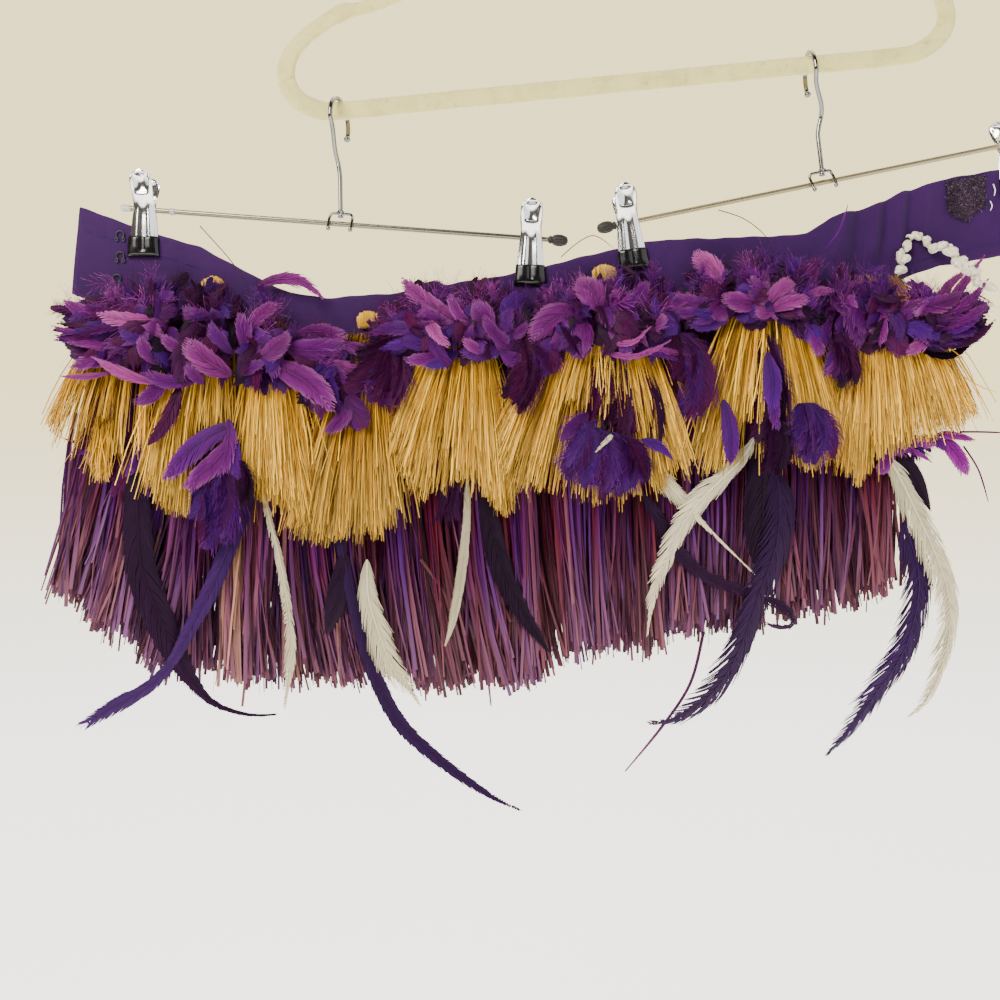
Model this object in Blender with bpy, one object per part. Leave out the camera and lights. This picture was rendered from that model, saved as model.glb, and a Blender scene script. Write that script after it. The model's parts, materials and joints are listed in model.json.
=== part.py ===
"""Grass skirt, opened flat and clipped to two wire hangers on one flocked hanger.

Lengths are in millimetres in the tables and become metres in make_solid.
X runs to the right, Y away from the front of the skirt, Z up.
The origin is the inside top of the flocked hanger's hook.
"""

import math
from collections import namedtuple

import bmesh
import bpy
from mathutils import Matrix, Vector

MM = 0.001

# ---------------------------------------------------------------- sizes

GAP = 0.3                    # clear space where two pieces meet
BAND_WALL = 2.4              # folded cotton of the waistband
BAND_HEIGHT = 58.0
BAND_ROWS = 4
BAND_STEP = 14.0             # column spacing where the band lies smooth
FOLD_STEP = 4.5              # column spacing in the folded stretch
FOLD_FROM, FOLD_TO = 158.0, 234.0
FOLD_PITCH = 19.0
FOLD_DEPTH = 2.2
FOLD_FADE_FROM, FOLD_FADE_TO = 18.0, 32.0
WAVE_DEPTH = 1.3             # slow wave of the whole hanging skirt
WAVE_LENGTH = 210.0

FRINGE_TOP_DROP = 46.0       # below the band's upper edge
FRINGE_HEM_DROP = 280.0
FRINGE_TOP_THICK = 2.5
FRINGE_HEM_THICK = 26.0
FRINGE_BACK_SWELL = 7.0
FAN_HEAD_DROP = 8.0
FAN_REACH = 165.0
FAN_HEAD_THICK = 6.0
FAN_BELLY = 7.0
ROOT_ROOM = 3.2              # room left behind a fan for feather roots
ROOT_FROM, ROOT_TO = 70.0, 130.0
LAYER_GAP = 0.5
SEAT_GAP = 0.4
CLUSTER_RIM = 5.0
CLUSTER_DOME = 17.0
FEATHER_WALL = 1.5
PLUME_WALL = 1.9
LINE_BLUR = 32.0             # smoothing of the band line for the depth of the layers

HANGER_TILT = math.radians(5.57)
HANGER_HEIGHT = 226.0        # centre of the lower bar to the inside top of the hook
HANGER_THICK = 5.5
HANGER_HOOK_RADIUS = 2.0
HANGER_HOOK_BEND = 21.0

ROD_RADIUS = 1.5
HOOK_RADIUS = 1.5
HOOK_BEND = 15.0
TIP_RADIUS = 3.7
TIP_LENGTH = 12.0
LEAF_WALL = 1.0
BOOT_WALL = 3.2
BOOT_LENGTH = 13.0
CLIP_LENGTH = 56.0
ROD_SIDES = 12
WIRE_SIDES = 8

EYE_RADIUS = 2.4
EYE_WIRE = 0.5
PATCH_WALL = 1.0
SHELL_RADIUS = 4.2
THREAD_RADIUS = 0.8

# ---------------------------------------------------------------- tables

# upper edge of the waistband: x, z
BAND_EDGE = (
    (-339.7, -307.5),
    (-306.2, -319.6),
    (-282.7, -327.0),
    (-259.3, -334.3),
    (-239.2, -345.1),
    (-219.1, -355.8),
    (-199.0, -364.5),
    (-175.5, -368.5),
    (-125.3, -364.5),
    (-78.4, -357.1),
    (-31.5, -348.4),
    (8.7, -337.7),
    (42.2, -330.3),
    (75.7, -328.3),
    (109.2, -327.6),
    (136.0, -327.0),
    (162.8, -314.2),
    (189.6, -307.5),
    (213.1, -296.8),
    (235.8, -289.4),
    (276.7, -282.4),
    (330.3, -274.7),
)

# one apron is a run of stations, each with an upper and a lower point
Station = namedtuple("Station", "top_x top_z low_x low_z")
Spot = namedtuple("Spot", "x z width")
Fan = namedtuple("Fan", "name head_x head_z head_width left_x left_z mid_x mid_z right_x right_z")
Clip = namedtuple("Clip", "name top_x top_z low_x low_z")

# purple raffia, in the three runs it is sewn on in
FRINGE = {
    "fringe_left": (
        Station(-328.2, -364.9, -344.9, -558.6),
        Station(-292.1, -382.2, -318.8, -583.3),
        Station(-258.7, -393.6, -279.8, -610.7),
        Station(-222.0, -409.0, -224.4, -621.1),
        Station(-187.9, -418.3, -169.0, -621.1),
    ),
    "fringe_middle": (
        Station(-183.9, -419.7, -165.1, -621.1),
        Station(-145.1, -418.3, -133.9, -614.6),
        Station(-105.1, -414.3, -87.6, -625.0),
        Station(-58.3, -406.3, -44.0, -621.1),
        Station(-14.2, -398.3, -1.0, -605.5),
    ),
    "fringe_right": (
        Station(-10.2, -396.9, 2.9, -602.9),
        Station(35.2, -386.2, 39.4, -595.0),
        Station(82.0, -379.6, 81.8, -587.2),
        Station(142.2, -371.5, 141.0, -576.8),
        Station(203.6, -356.8, 201.0, -562.5),
    ),
}

# tan fibre tassels, tied at the head and cut level at the hem
FANS = (
    Fan("fan_1", -298.2, -366.6, 17.4, -353.4, -457.3, -321.0, -472.9, -284.3, -476.7),
    Fan("fan_2", -248.8, -359.9, 17.4, -283.0, -496.1, -260.5, -512.9, -228.8, -518.0),
    Fan("fan_3", -212.9, -374.6, 17.4, -223.0, -494.8, -200.0, -507.1, -175.8, -521.9),
    Fan("fan_4", -146.2, -382.6, 17.4, -170.7, -527.1, -151.0, -525.7, -129.3, -503.8),
    Fan("fan_5", -79.6, -370.6, 18.8, -124.2, -498.7, -87.3, -497.4, -50.5, -507.7),
    Fan("fan_6", 11.0, -351.9, 20.1, -44.7, -494.8, 8.7, -507.7, 67.0, -479.3),
    Fan("fan_7", 120.3, -345.3, 20.1, 72.2, -479.3, 115.6, -470.4, 160.0, -467.7),
    Fan("fan_8", 186.9, -347.9, 18.8, 165.2, -485.8, 204.4, -479.4, 250.4, -444.4),
)

# bunches of short feathers over the heads of the fans
CLUSTERS = {
    "feather_cluster_1": (
        Station(-353.6, -373.2, -346.8, -409.4),
        Station(-313.1, -352.3, -307.3, -428.5),
        Station(-267.3, -351.0, -262.6, -434.9),
        Station(-221.6, -362.7, -217.9, -437.5),
        Station(-182.4, -381.0, -179.6, -457.9),
        Station(-155.0, -407.2, -152.8, -447.7),
    ),
    "feather_cluster_2": (
        Station(-145.8, -382.3, -143.8, -409.4),
        Station(-120.3, -360.1, -118.9, -422.1),
        Station(-87.7, -357.5, -87.0, -419.6),
        Station(-58.3, -356.2, -58.3, -415.7),
        Station(-41.3, -358.8, -41.7, -408.1),
    ),
    "feather_cluster_3": (
        Station(-36.1, -364.0, -36.6, -401.7),
        Station(-15.8, -357.5, -16.8, -418.3),
        Station(10.3, -352.3, 8.7, -415.7),
        Station(36.4, -345.8, 34.3, -420.9),
        Station(56.7, -353.6, 54.1, -409.4),
    ),
    "feather_cluster_4": (
        Station(61.9, -352.3, 59.2, -395.3),
        Station(85.4, -343.1, 82.1, -390.2),
        Station(111.6, -341.8, 107.7, -387.7),
        Station(135.1, -343.1, 130.7, -399.1),
        Station(152.1, -348.4, 147.3, -408.1),
    ),
    "feather_cluster_5": (
        Station(157.3, -351.0, 152.4, -405.5),
        Station(176.9, -352.3, 171.5, -413.2),
        Station(199.7, -356.2, 193.9, -406.8),
        Station(229.1, -365.4, 222.6, -408.1),
        Station(258.5, -373.2, 251.3, -400.4),
    ),
}

# single long feathers: lift off the fringe, then the spots along the quill
FEATHERS = {
    "dark_feather_1": (0.0, (
        Spot(-299.2, -480.5, 14.2),
        Spot(-296.5, -533.5, 16.7),
        Spot(-288.2, -557.9, 18.0),
        Spot(-275.3, -590.8, 19.3),
        Spot(-258.6, -615.2, 15.4),
        Spot(-247.0, -633.3, 9.0),
        Spot(-232.2, -640.4, 3.2),
        Spot(-216.1, -642.9, 2.6),
        Spot(-201.2, -641.0, 1.9),
    )),
    "dark_feather_2": (2.2, (
        Spot(-236.0, -537.3, 10.3),
        Spot(-243.7, -566.3, 14.2),
        Spot(-258.6, -590.8, 15.4),
        Spot(-272.1, -610.7, 14.2),
        Spot(-291.4, -625.5, 12.9),
        Spot(-309.4, -636.5, 12.9),
        Spot(-327.5, -648.1, 10.3),
    )),
    "dark_feather_3": (0.0, (
        Spot(-167.1, -503.8, 6.4),
        Spot(-159.4, -542.5, 7.7),
        Spot(-149.1, -586.9, 8.4),
        Spot(-139.4, -614.6, 10.3),
        Spot(-129.8, -635.8, 10.3),
        Spot(-118.2, -652.6, 10.3),
        Spot(-101.4, -667.4, 9.0),
        Spot(-82.1, -682.2, 7.1),
        Spot(-62.2, -695.1, 5.1),
        Spot(-44.1, -703.5, 1.9),
    )),
    "dark_feather_4": (2.2, (
        Spot(120.5, -483.1, 16.7),
        Spot(122.4, -503.8, 25.7),
        Spot(119.4, -532.8, 27.0),
        Spot(107.8, -564.4, 21.9),
        Spot(98.2, -592.1, 20.6),
        Spot(86.6, -616.5, 19.3),
        Spot(71.8, -633.3, 18.0),
        Spot(51.8, -644.9, 12.9),
        Spot(35.1, -646.8, 5.1),
    )),
    "dark_feather_5": (0.0, (
        Spot(33.7, -497.4, 10.3),
        Spot(45.4, -518.0, 11.6),
        Spot(60.2, -541.2, 11.6),
        Spot(78.2, -554.7, 10.3),
        Spot(98.2, -562.4, 9.0),
        Spot(117.5, -568.9, 7.7),
        Spot(131.0, -579.2, 5.1),
    )),
    "dark_feather_6": (0.0, (
        Spot(201.9, -518.0, 15.4),
        Spot(208.3, -538.0, 21.9),
        Spot(211.5, -554.7, 23.2),
        Spot(208.3, -579.2, 20.6),
        Spot(199.9, -603.7, 20.6),
        Spot(185.1, -624.9, 19.3),
        Spot(168.4, -648.1, 15.4),
        Spot(151.0, -668.0, 3.9),
    )),
    "cream_feather_1": (0.0, (
        Spot(-213.7, -493.5, 3.9),
        Spot(-207.7, -516.7, 5.8),
        Spot(-200.6, -542.5, 6.4),
        Spot(-196.1, -566.3, 7.7),
        Spot(-192.9, -590.8, 9.0),
        Spot(-192.9, -610.7, 9.0),
        Spot(-196.7, -636.5, 3.2),
    )),
    "cream_feather_2": (2.2, (
        Spot(-144.6, -542.5, 9.0),
        Spot(-143.3, -565.7, 14.2),
        Spot(-136.9, -587.6, 18.0),
        Spot(-127.2, -612.0, 18.0),
        Spot(-116.2, -624.9, 10.3),
        Spot(-109.8, -635.8, 3.2),
    )),
    "cream_feather_3": (0.0, (
        Spot(-79.7, -487.0, 5.8),
        Spot(-79.0, -507.7, 6.4),
        Spot(-80.2, -529.6, 7.7),
        Spot(-83.4, -557.3, 9.0),
        Spot(-88.6, -583.7, 7.7),
        Spot(-93.7, -597.9, 3.2),
    )),
    "cream_feather_4": (0.0, (
        Spot(23.3, -466.3, 10.3),
        Spot(39.5, -481.8, 12.9),
        Spot(60.9, -505.1, 10.3),
        Spot(73.1, -519.3, 3.2),
        Spot(104.6, -550.8, 1.9),
    )),
    "cream_feather_5": (2.2, (
        Spot(108.8, -459.8, 7.7),
        Spot(98.4, -477.3, 11.6),
        Spot(72.5, -501.9, 16.7),
        Spot(60.2, -518.0, 16.7),
        Spot(50.5, -538.0, 14.2),
        Spot(42.2, -557.9, 11.6),
        Spot(38.3, -576.0, 5.1),
        Spot(36.4, -588.8, 1.9),
    )),
    "cream_feather_6": (2.2, (
        Spot(190.4, -472.8, 6.4),
        Spot(196.2, -483.1, 12.9),
        Spot(206.0, -505.1, 19.3),
        Spot(218.0, -531.5, 21.9),
        Spot(227.6, -557.9, 21.9),
        Spot(230.2, -582.4, 19.3),
        Spot(224.4, -612.0, 16.7),
        Spot(213.5, -633.9, 11.6),
        Spot(203.2, -642.9, 3.2),
    )),
}

# short plumes under the fans
PLUMES = {
    "plume_1": (0.0, (
        Spot(-320.7, -462.3, 16.7),
        Spot(-316.2, -479.2, 15.4),
        Spot(-311.6, -501.2, 6.4),
    )),
    "plume_2": (0.0, (
        Spot(-238.9, -475.3, 25.7),
        Spot(-240.8, -501.2, 36.0),
        Spot(-238.9, -525.9, 15.4),
    )),
    "plume_3": (0.0, (
        Spot(-92.1, -472.7, 9.0),
        Spot(-94.7, -492.1, 11.6),
        Spot(-93.4, -516.8, 5.1),
    )),
    "plume_4": (0.0, (
        Spot(-5.0, -455.8, 21.9),
        Spot(-5.0, -479.2, 29.6),
        Spot(-1.1, -501.2, 15.4),
    )),
    "plume_5": (0.0, (
        Spot(140.5, -451.9, 12.9),
        Spot(139.2, -468.8, 18.0),
        Spot(136.6, -487.0, 10.3),
    )),
    "plume_6": (0.0, (
        Spot(182.0, -455.8, 6.4),
        Spot(202.8, -463.6, 7.7),
        Spot(222.3, -472.0, 14.2),
        Spot(231.4, -479.8, 16.7),
        Spot(240.5, -487.6, 7.7),
    )),
}

# run of small shells strung over the band's right end
SHELL_PATH = (
    (210.8, -353.7),
    (211.5, -345.7),
    (214.1, -337.1),
    (219.4, -329.8),
    (224.8, -324.4),
    (232.7, -327.1),
    (240.0, -334.4),
    (246.0, -342.4),
    (251.3, -349.7),
    (259.3, -355.0),
    (265.9, -363.0),
    (272.6, -372.3),
)

CLIPS = (
    Clip("clip_1", -296.1, -285.4, -296.5, -341.2),
    Clip("clip_2", -37.1, -304.4, -38.3, -360.2),
    Clip("clip_3", 23.9, -294.2, 31.6, -349.4),
    Clip("clip_4", 279.6, -246.4, 286.9, -301.8),
)

# inner face of a clip leaf off the middle, and its width, by way down the leaf
Leaf = namedtuple("Leaf", "down inside width")
LEAF = (
    Leaf(0.0, 11.2, 5.0),
    Leaf(2.5, 11.4, 10.4),
    Leaf(7.0, 10.6, 13.6),
    Leaf(14.0, 6.8, 14.6),
    Leaf(21.0, 2.6, 14.6),
    Leaf(25.0, 1.85, 14.8),
    Leaf(34.0, 1.85, 16.4),
    Leaf(42.4, 1.7, 19.6),
    Leaf(43.0, 1.5, 20.0),
    Leaf(56.0, 1.5, 21.6),
)

# right half of the flocked hanger's loop: x, z, height of the section
HANGER_HALF = (
    (60.0, 0.0, 12.0),
    (130.0, 0.0, 12.0),
    (188.0, 0.0, 12.0),
    (203.0, 2.5, 12.5),
    (214.0, 9.0, 12.5),
    (221.0, 19.0, 12.5),
    (221.5, 31.0, 12.0),
    (215.5, 43.0, 11.0),
    (205.0, 52.5, 10.5),
    (192.0, 60.0, 10.5),
    (180.0, 65.5, 12.0),
    (172.0, 66.3, 9.0),
    (160.0, 68.5, 9.5),
    (140.0, 75.0, 11.0),
    (100.0, 90.0, 11.0),
    (60.0, 105.5, 11.0),
    (25.0, 119.0, 12.0),
    (9.0, 125.0, 15.0),
)
HANGER_NECK = (0.0, 127.0, 16.0)

# wire rods of the clip hangers: name, left x, left z, right x, right z, capped ends
Rod = namedtuple("Rod", "name left_x left_z right_x right_z")
RODS = (
    Rod("left_rod", -311.6, -308.2, -12.7, -330.3),
    Rod("right_rod", 6.7, -322.3, 304.0, -261.1),
)
# hooks of the clip hangers: name, foot x, foot z, crown x, crown z, turn about Z
Hook = namedtuple("Hook", "name foot_x foot_z crown_x crown_z turn")
HOOKS = (
    Hook("left_hook", -165.0, -317.0, -166.2, -235.4, 15.0),
    Hook("right_hook", 157.5, -289.4, 148.1, -204.7, 3.0),
)

EYES = (("eye_1", -312.2, -327.0), ("eye_2", -312.2, -341.0), ("eye_3", -314.4, -356.0))
BACK_HOOKS = (("hook_1", 318.0, -286.0), ("hook_2", 319.0, -302.0), ("hook_3", 320.0, -318.0))
PATCH = (
    Station(239.9, -292.0, 241.2, -310.9),
    Station(252.6, -288.6, 252.6, -317.6),
    Station(265.3, -287.4, 266.0, -306.2),
)

# name, colour, roughness, metallic
MATERIALS = {
    "cotton": ((0.075, 0.030, 0.180), 0.90, 0.0),
    "fuzz": ((0.070, 0.050, 0.070), 1.0, 0.0),
    "raffia": ((0.110, 0.028, 0.110), 0.75, 0.0),
    "fibre": ((0.610, 0.370, 0.090), 0.80, 0.0),
    "feather_violet": ((0.200, 0.030, 0.230), 0.70, 0.0),
    "feather_dark": ((0.030, 0.015, 0.075), 0.60, 0.0),
    "feather_cream": ((0.680, 0.640, 0.520), 0.70, 0.0),
    "shell": ((0.800, 0.760, 0.640), 0.35, 0.0),
    "flock": ((0.740, 0.700, 0.460), 1.0, 0.0),
    "chrome": ((0.700, 0.700, 0.700), 0.12, 1.0),
    "black_wire": ((0.010, 0.010, 0.012), 0.40, 1.0),
    "vinyl": ((0.012, 0.011, 0.012), 0.35, 0.0),
}


# ---------------------------------------------------------------- curves and fields


def clamp(value):
    """The value held between 0 and 1."""
    return max(0.0, min(1.0, value))


def ease(value):
    """Smooth step from 0 to 1."""
    value = clamp(value)
    return value * value * (3.0 - 2.0 * value)


def along(table, x):
    """Second column of a table, read at x of the first and held past its ends."""
    if x <= table[0][0]:
        return table[0][1]
    for (x_a, y_a), (x_b, y_b) in zip(table, table[1:]):
        if x <= x_b:
            return y_a + (y_b - y_a) * (x - x_a) / (x_b - x_a)
    return table[-1][1]


def blend(row_a, row_b, share):
    """Row between two rows of numbers."""
    return tuple(a + (b - a) * share for a, b in zip(row_a, row_b))


def smooth_path(rows, steps):
    """Catmull-Rom curve through rows of numbers, with steps pieces between two rows."""
    rows = [tuple(row) for row in rows]
    ends = [rows[0]] + rows + [rows[-1]]
    result = []
    for index in range(len(rows) - 1):
        a, b, c, d = ends[index:index + 4]
        for step in range(steps):
            t = step / steps
            result.append(tuple(
                0.5 * (2.0 * q + (r - p) * t + (2.0 * p - 5.0 * q + 4.0 * r - s) * t * t
                       + (3.0 * q - p - 3.0 * r + s) * t * t * t)
                for p, q, r, s in zip(a, b, c, d)))
    result.append(rows[-1])
    return result


def band_top(x):
    """Height of the waistband's upper edge."""
    return along(BAND_EDGE, x)


def drop_below(x, z):
    """How far a point lies below the smoothed upper edge of the band."""
    spread = (-1.0, -0.5, 0.0, 0.5, 1.0)
    return sum(band_top(x + LINE_BLUR * share) for share in spread) / len(spread) - z


def wave(x):
    """Slow wave of the skirt, flat where the clips hold it."""
    held = min(abs(x - (clip.low_x)) for clip in CLIPS)
    return WAVE_DEPTH * math.sin(2.0 * math.pi * x / WAVE_LENGTH) * ease((held - 18.0) / 60.0)


def fold(x, drop):
    """Short upright folds near the right end of the band."""
    window = ease((x - FOLD_FROM) / 16.0) * ease((FOLD_TO - x) / 16.0)
    fade = 1.0 - ease((drop - FOLD_FADE_FROM) / (FOLD_FADE_TO - FOLD_FADE_FROM))
    return FOLD_DEPTH * math.sin(2.0 * math.pi * (x - FOLD_FROM) / FOLD_PITCH) * window * fade


def band_y(x, z):
    """Middle of the waistband's wall."""
    return wave(x) + fold(x, band_top(x) - z)


def fringe_thick(drop):
    """Thickness of the raffia at a drop below the band's edge."""
    share = clamp((drop - FRINGE_TOP_DROP) / (FRINGE_HEM_DROP - FRINGE_TOP_DROP))
    return FRINGE_TOP_THICK + (FRINGE_HEM_THICK - FRINGE_TOP_THICK) * (1.0 - (1.0 - share) ** 2)


def seat_y(x):
    """Face that pieces sewn on the band's front are set on."""
    return wave(x) - 0.5 * BAND_WALL - SEAT_GAP


def fringe_front(x, z):
    """Front face of the raffia."""
    return seat_y(x) - fringe_thick(drop_below(x, z))


def fringe_back(x, z):
    """Back face of the raffia, which swells behind the band line near the hem."""
    return seat_y(x) + FRINGE_BACK_SWELL * ease((drop_below(x, z) - 80.0) / 180.0)


def fan_back(x, z):
    """Back face of the tan fans: on the band at the head, then over the raffia."""
    drop = drop_below(x, z)
    climb = clamp((drop - FAN_HEAD_DROP) / (FRINGE_TOP_DROP - FAN_HEAD_DROP))
    room = LAYER_GAP * climb + ROOT_ROOM * ease((drop - ROOT_FROM) / (ROOT_TO - ROOT_FROM))
    return seat_y(x) - fringe_thick(max(drop, FRINGE_TOP_DROP)) * climb - room


def fan_front(x, z):
    """Front face of the tan fans."""
    share = clamp((drop_below(x, z) - FAN_HEAD_DROP) / FAN_REACH)
    return fan_back(x, z) - FAN_HEAD_THICK - FAN_BELLY * math.sin(math.pi * share)


# ---------------------------------------------------------------- solids


def material_for(name):
    """Material of one slot, made once."""
    found = bpy.data.materials.get(name)
    if found:
        return found
    colour, roughness, metallic = MATERIALS[name]
    material = bpy.data.materials.new(name)
    material.use_nodes = True
    shader = material.node_tree.nodes["Principled BSDF"]
    shader.inputs["Base Color"].default_value = (*colour, 1.0)
    shader.inputs["Roughness"].default_value = roughness
    shader.inputs["Metallic"].default_value = metallic
    material.diffuse_color = (*colour, 1.0)
    return material


def make_solid(name, slot, points, faces, smooth=True):
    """One closed object from points in millimetres and faces by index."""
    mesh = bpy.data.meshes.new(name)
    work = bmesh.new()
    vertices = [work.verts.new(Vector(point) * MM) for point in points]
    for face in faces:
        work.faces.new([vertices[index] for index in face])
    bmesh.ops.triangulate(work, faces=list(work.faces))
    bmesh.ops.recalc_face_normals(work, faces=list(work.faces))
    if work.calc_volume(signed=True) < 0.0:
        bmesh.ops.reverse_faces(work, faces=list(work.faces))
    for face in work.faces:
        face.smooth = smooth
    work.to_mesh(mesh)
    work.free()
    mesh.materials.append(material_for(slot))
    solid = bpy.data.objects.new(name, mesh)
    bpy.context.scene.collection.objects.link(solid)
    return solid


def slab(name, slot, front, back, smooth=True):
    """Closed plate between two grids of points of the same rows and columns."""
    rows, columns = len(front), len(front[0])
    size = rows * columns
    points = [point for row in front for point in row] + [point for row in back for point in row]
    faces = []
    for row in range(rows - 1):
        for column in range(columns - 1):
            a = row * columns + column
            face = (a, a + 1, a + columns + 1, a + columns)
            faces.append(face)
            faces.append(tuple(index + size for index in reversed(face)))
    rim = [column for column in range(columns)]
    rim += [row * columns + columns - 1 for row in range(1, rows)]
    rim += [(rows - 1) * columns + column for column in range(columns - 2, -1, -1)]
    rim += [row * columns for row in range(rows - 2, 0, -1)]
    for a, b in zip(rim, rim[1:] + rim[:1]):
        faces.append((b, a, a + size, b + size))
    return make_solid(name, slot, points, faces, smooth)


def tube(name, slot, path, sides, closed=False):
    """Round bar along rows of x, y, z, radius."""
    spots = [Vector(row[:3]) for row in path]
    count = len(spots)
    points = []
    side_way = None
    for index, spot in enumerate(spots):
        before = spots[index - 1] if index or closed else spot
        after = spots[(index + 1) % count] if index + 1 < count or closed else spot
        forward = (after - before).normalized()
        if side_way is None:
            side_way = forward.orthogonal().normalized()
        side_way = (side_way - forward * side_way.dot(forward)).normalized()
        other_way = forward.cross(side_way)
        for side in range(sides):
            angle = 2.0 * math.pi * side / sides
            offset = side_way * math.cos(angle) + other_way * math.sin(angle)
            points.append(spot + offset * path[index][3])
    faces = []
    for index in range(count if closed else count - 1):
        ring, following = index * sides, (index + 1) % count * sides
        for side in range(sides):
            beside = (side + 1) % sides
            faces.append((ring + side, ring + beside, following + beside, following + side))
    if not closed:
        faces.append(tuple(range(sides)))
        faces.append(tuple(range((count - 1) * sides, count * sides)))
    return make_solid(name, slot, points, faces)


def spread_stations(stations, columns):
    """Stations at evenly spaced columns along the run."""
    result = []
    for column in range(columns):
        place = column / (columns - 1) * (len(stations) - 1)
        index = min(int(place), len(stations) - 2)
        result.append(Station(*blend(stations[index], stations[index + 1], place - index)))
    return result


def apron(name, slot, stations, columns, rows, back_of, thick_of):
    """Hanging layer: back face on a field, thickness by share across and down."""
    run = spread_stations(stations, columns)
    front, back = [], []
    for row in range(rows):
        down = row / (rows - 1)
        front_row, back_row = [], []
        for column, station in enumerate(run):
            across = column / (columns - 1)
            x = station.top_x + (station.low_x - station.top_x) * down
            z = station.top_z + (station.low_z - station.top_z) * down
            y = back_of(x, z)
            back_row.append((x, y, z))
            front_row.append((x, y - thick_of(x, z, across, down), z))
        front.append(front_row)
        back.append(back_row)
    return slab(name, slot, front, back)


def edge_share(across, down, rim):
    """Full in the middle of a layer and thin along its rim."""
    return rim if across in (0.0, 1.0) or down in (0.0, 1.0) else 1.0


# ---------------------------------------------------------------- pieces


def build_band():
    """Waistband: a folded cotton strip."""
    columns = [BAND_EDGE[0][0]]
    while columns[-1] < BAND_EDGE[-1][0] - 1.0:
        step = FOLD_STEP if FOLD_FROM - 4.0 < columns[-1] < FOLD_TO else BAND_STEP
        columns.append(min(columns[-1] + step, BAND_EDGE[-1][0]))
    front, back = [], []
    lean = -5.4
    for row in range(BAND_ROWS + 1):
        down = row / BAND_ROWS
        front_row, back_row = [], []
        for x in columns:
            start = 1.0 - ease((x - BAND_EDGE[0][0]) / 60.0)
            z = band_top(x) - BAND_HEIGHT * down
            place = x + lean * down * start
            y = band_y(x, z)
            front_row.append((place, y - 0.5 * BAND_WALL, z))
            back_row.append((place, y + 0.5 * BAND_WALL, z))
        front.append(front_row)
        back.append(back_row)
    slab("waistband", "cotton", front, back)


def build_patch():
    """Soft half of a hook-and-loop fastener on the right end of the band."""
    def back_of(x, z):
        return band_y(x, z) - 0.5 * BAND_WALL - GAP

    def thick_of(x, z, across, down):
        return PATCH_WALL

    apron("hook_loop_patch", "fuzz", PATCH, 5, 4, back_of, thick_of)


def build_fastenings():
    """Wire eyes on the front of the left end, and hooks on the back of the right end."""
    for name, x, z in EYES:
        y = -0.5 * BAND_WALL - GAP - EYE_WIRE
        ring = []
        for step in range(10):
            angle = 2.0 * math.pi * step / 10
            ring.append((x + EYE_RADIUS * math.cos(angle), y, z + EYE_RADIUS * math.sin(angle), EYE_WIRE))
        tube(name, "black_wire", ring, 5, closed=True)
    for name, x, z in BACK_HOOKS:
        y = 0.5 * BAND_WALL + GAP + EYE_WIRE
        shank = ((x - 6.0, y, z), (x, y, z), (x + 1.2, y + 0.9, z), (x, y + 1.8, z), (x - 3.4, y + 1.7, z))
        tube(name, "black_wire", [(*spot, EYE_WIRE) for spot in smooth_path(shank, 3)], 5)


def build_fringe():
    """Purple raffia in three runs."""
    for name, stations in FRINGE.items():
        def thick_of(x, z, across, down):
            full = fringe_back(x, z) - fringe_front(x, z)
            if down in (0.0, 1.0):
                return full * (0.8 if down == 0.0 else 0.86)
            return full * (0.85 if across in (0.0, 1.0) else 1.0)

        apron(name, "raffia", stations, 15, 10, fringe_back, thick_of)


def build_fans():
    """Tan tassels spreading from their tied heads."""
    for fan in FANS:
        stations = []
        for column in range(8):
            across = column / 7.0
            left, middle, right = (1.0 - across) ** 2, 2.0 * across * (1.0 - across), across ** 2
            peak_x = 2.0 * fan.mid_x - 0.5 * (fan.left_x + fan.right_x)
            peak_z = 2.0 * fan.mid_z - 0.5 * (fan.left_z + fan.right_z)
            stations.append(Station(
                fan.head_x + (across - 0.5) * fan.head_width,
                fan.head_z + 2.0 * math.sin(math.pi * across),
                left * fan.left_x + middle * peak_x + right * fan.right_x,
                left * fan.left_z + middle * peak_z + right * fan.right_z))

        def thick_of(x, z, across, down):
            return (fan_back(x, z) - fan_front(x, z)) * edge_share(across, down, 0.45)

        apron(fan.name, "fibre", stations, 8, 9, fan_back, thick_of)


def build_clusters():
    """Domed bunches of short feathers."""
    def back_of(x, z):
        return fan_front(x, z) - LAYER_GAP

    def thick_of(x, z, across, down):
        return CLUSTER_RIM + CLUSTER_DOME * (math.sin(math.pi * across) * math.sin(math.pi * down)) ** 0.7

    for name, stations in CLUSTERS.items():
        apron(name, "feather_violet", stations, 10, 7, back_of, thick_of)


def ribbon(name, slot, spots, lift, wall, steps):
    """Thin blade along spots of x, z, width, lying off the front of the raffia."""
    path = smooth_path(spots, steps)
    front, back = [], []
    for index, (x, z, width) in enumerate(path):
        before = path[max(index - 1, 0)]
        after = path[min(index + 1, len(path) - 1)]
        way = Vector((after[0] - before[0], after[1] - before[1])).normalized()
        rise = lift * ease(index / (0.2 * len(path)))
        front_row, back_row = [], []
        for side in (-0.5, 0.0, 0.5):
            spot_x = x - way.y * width * side
            spot_z = z + way.x * width * side
            y = fringe_front(spot_x, spot_z) - SEAT_GAP - rise
            back_row.append((spot_x, y, spot_z))
            front_row.append((spot_x, y - wall * (0.45 if side else 1.0), spot_z))
        front.append(front_row)
        back.append(back_row)
    slab(name, slot, front, back)


def build_feathers():
    """Long single feathers and the short plumes."""
    for name, (lift, spots) in FEATHERS.items():
        slot = "feather_dark" if name.startswith("dark") else "feather_cream"
        ribbon(name, slot, spots, lift, FEATHER_WALL, 2)
    for name, (lift, spots) in PLUMES.items():
        ribbon(name, "feather_violet", spots, lift, PLUME_WALL, 3)


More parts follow.
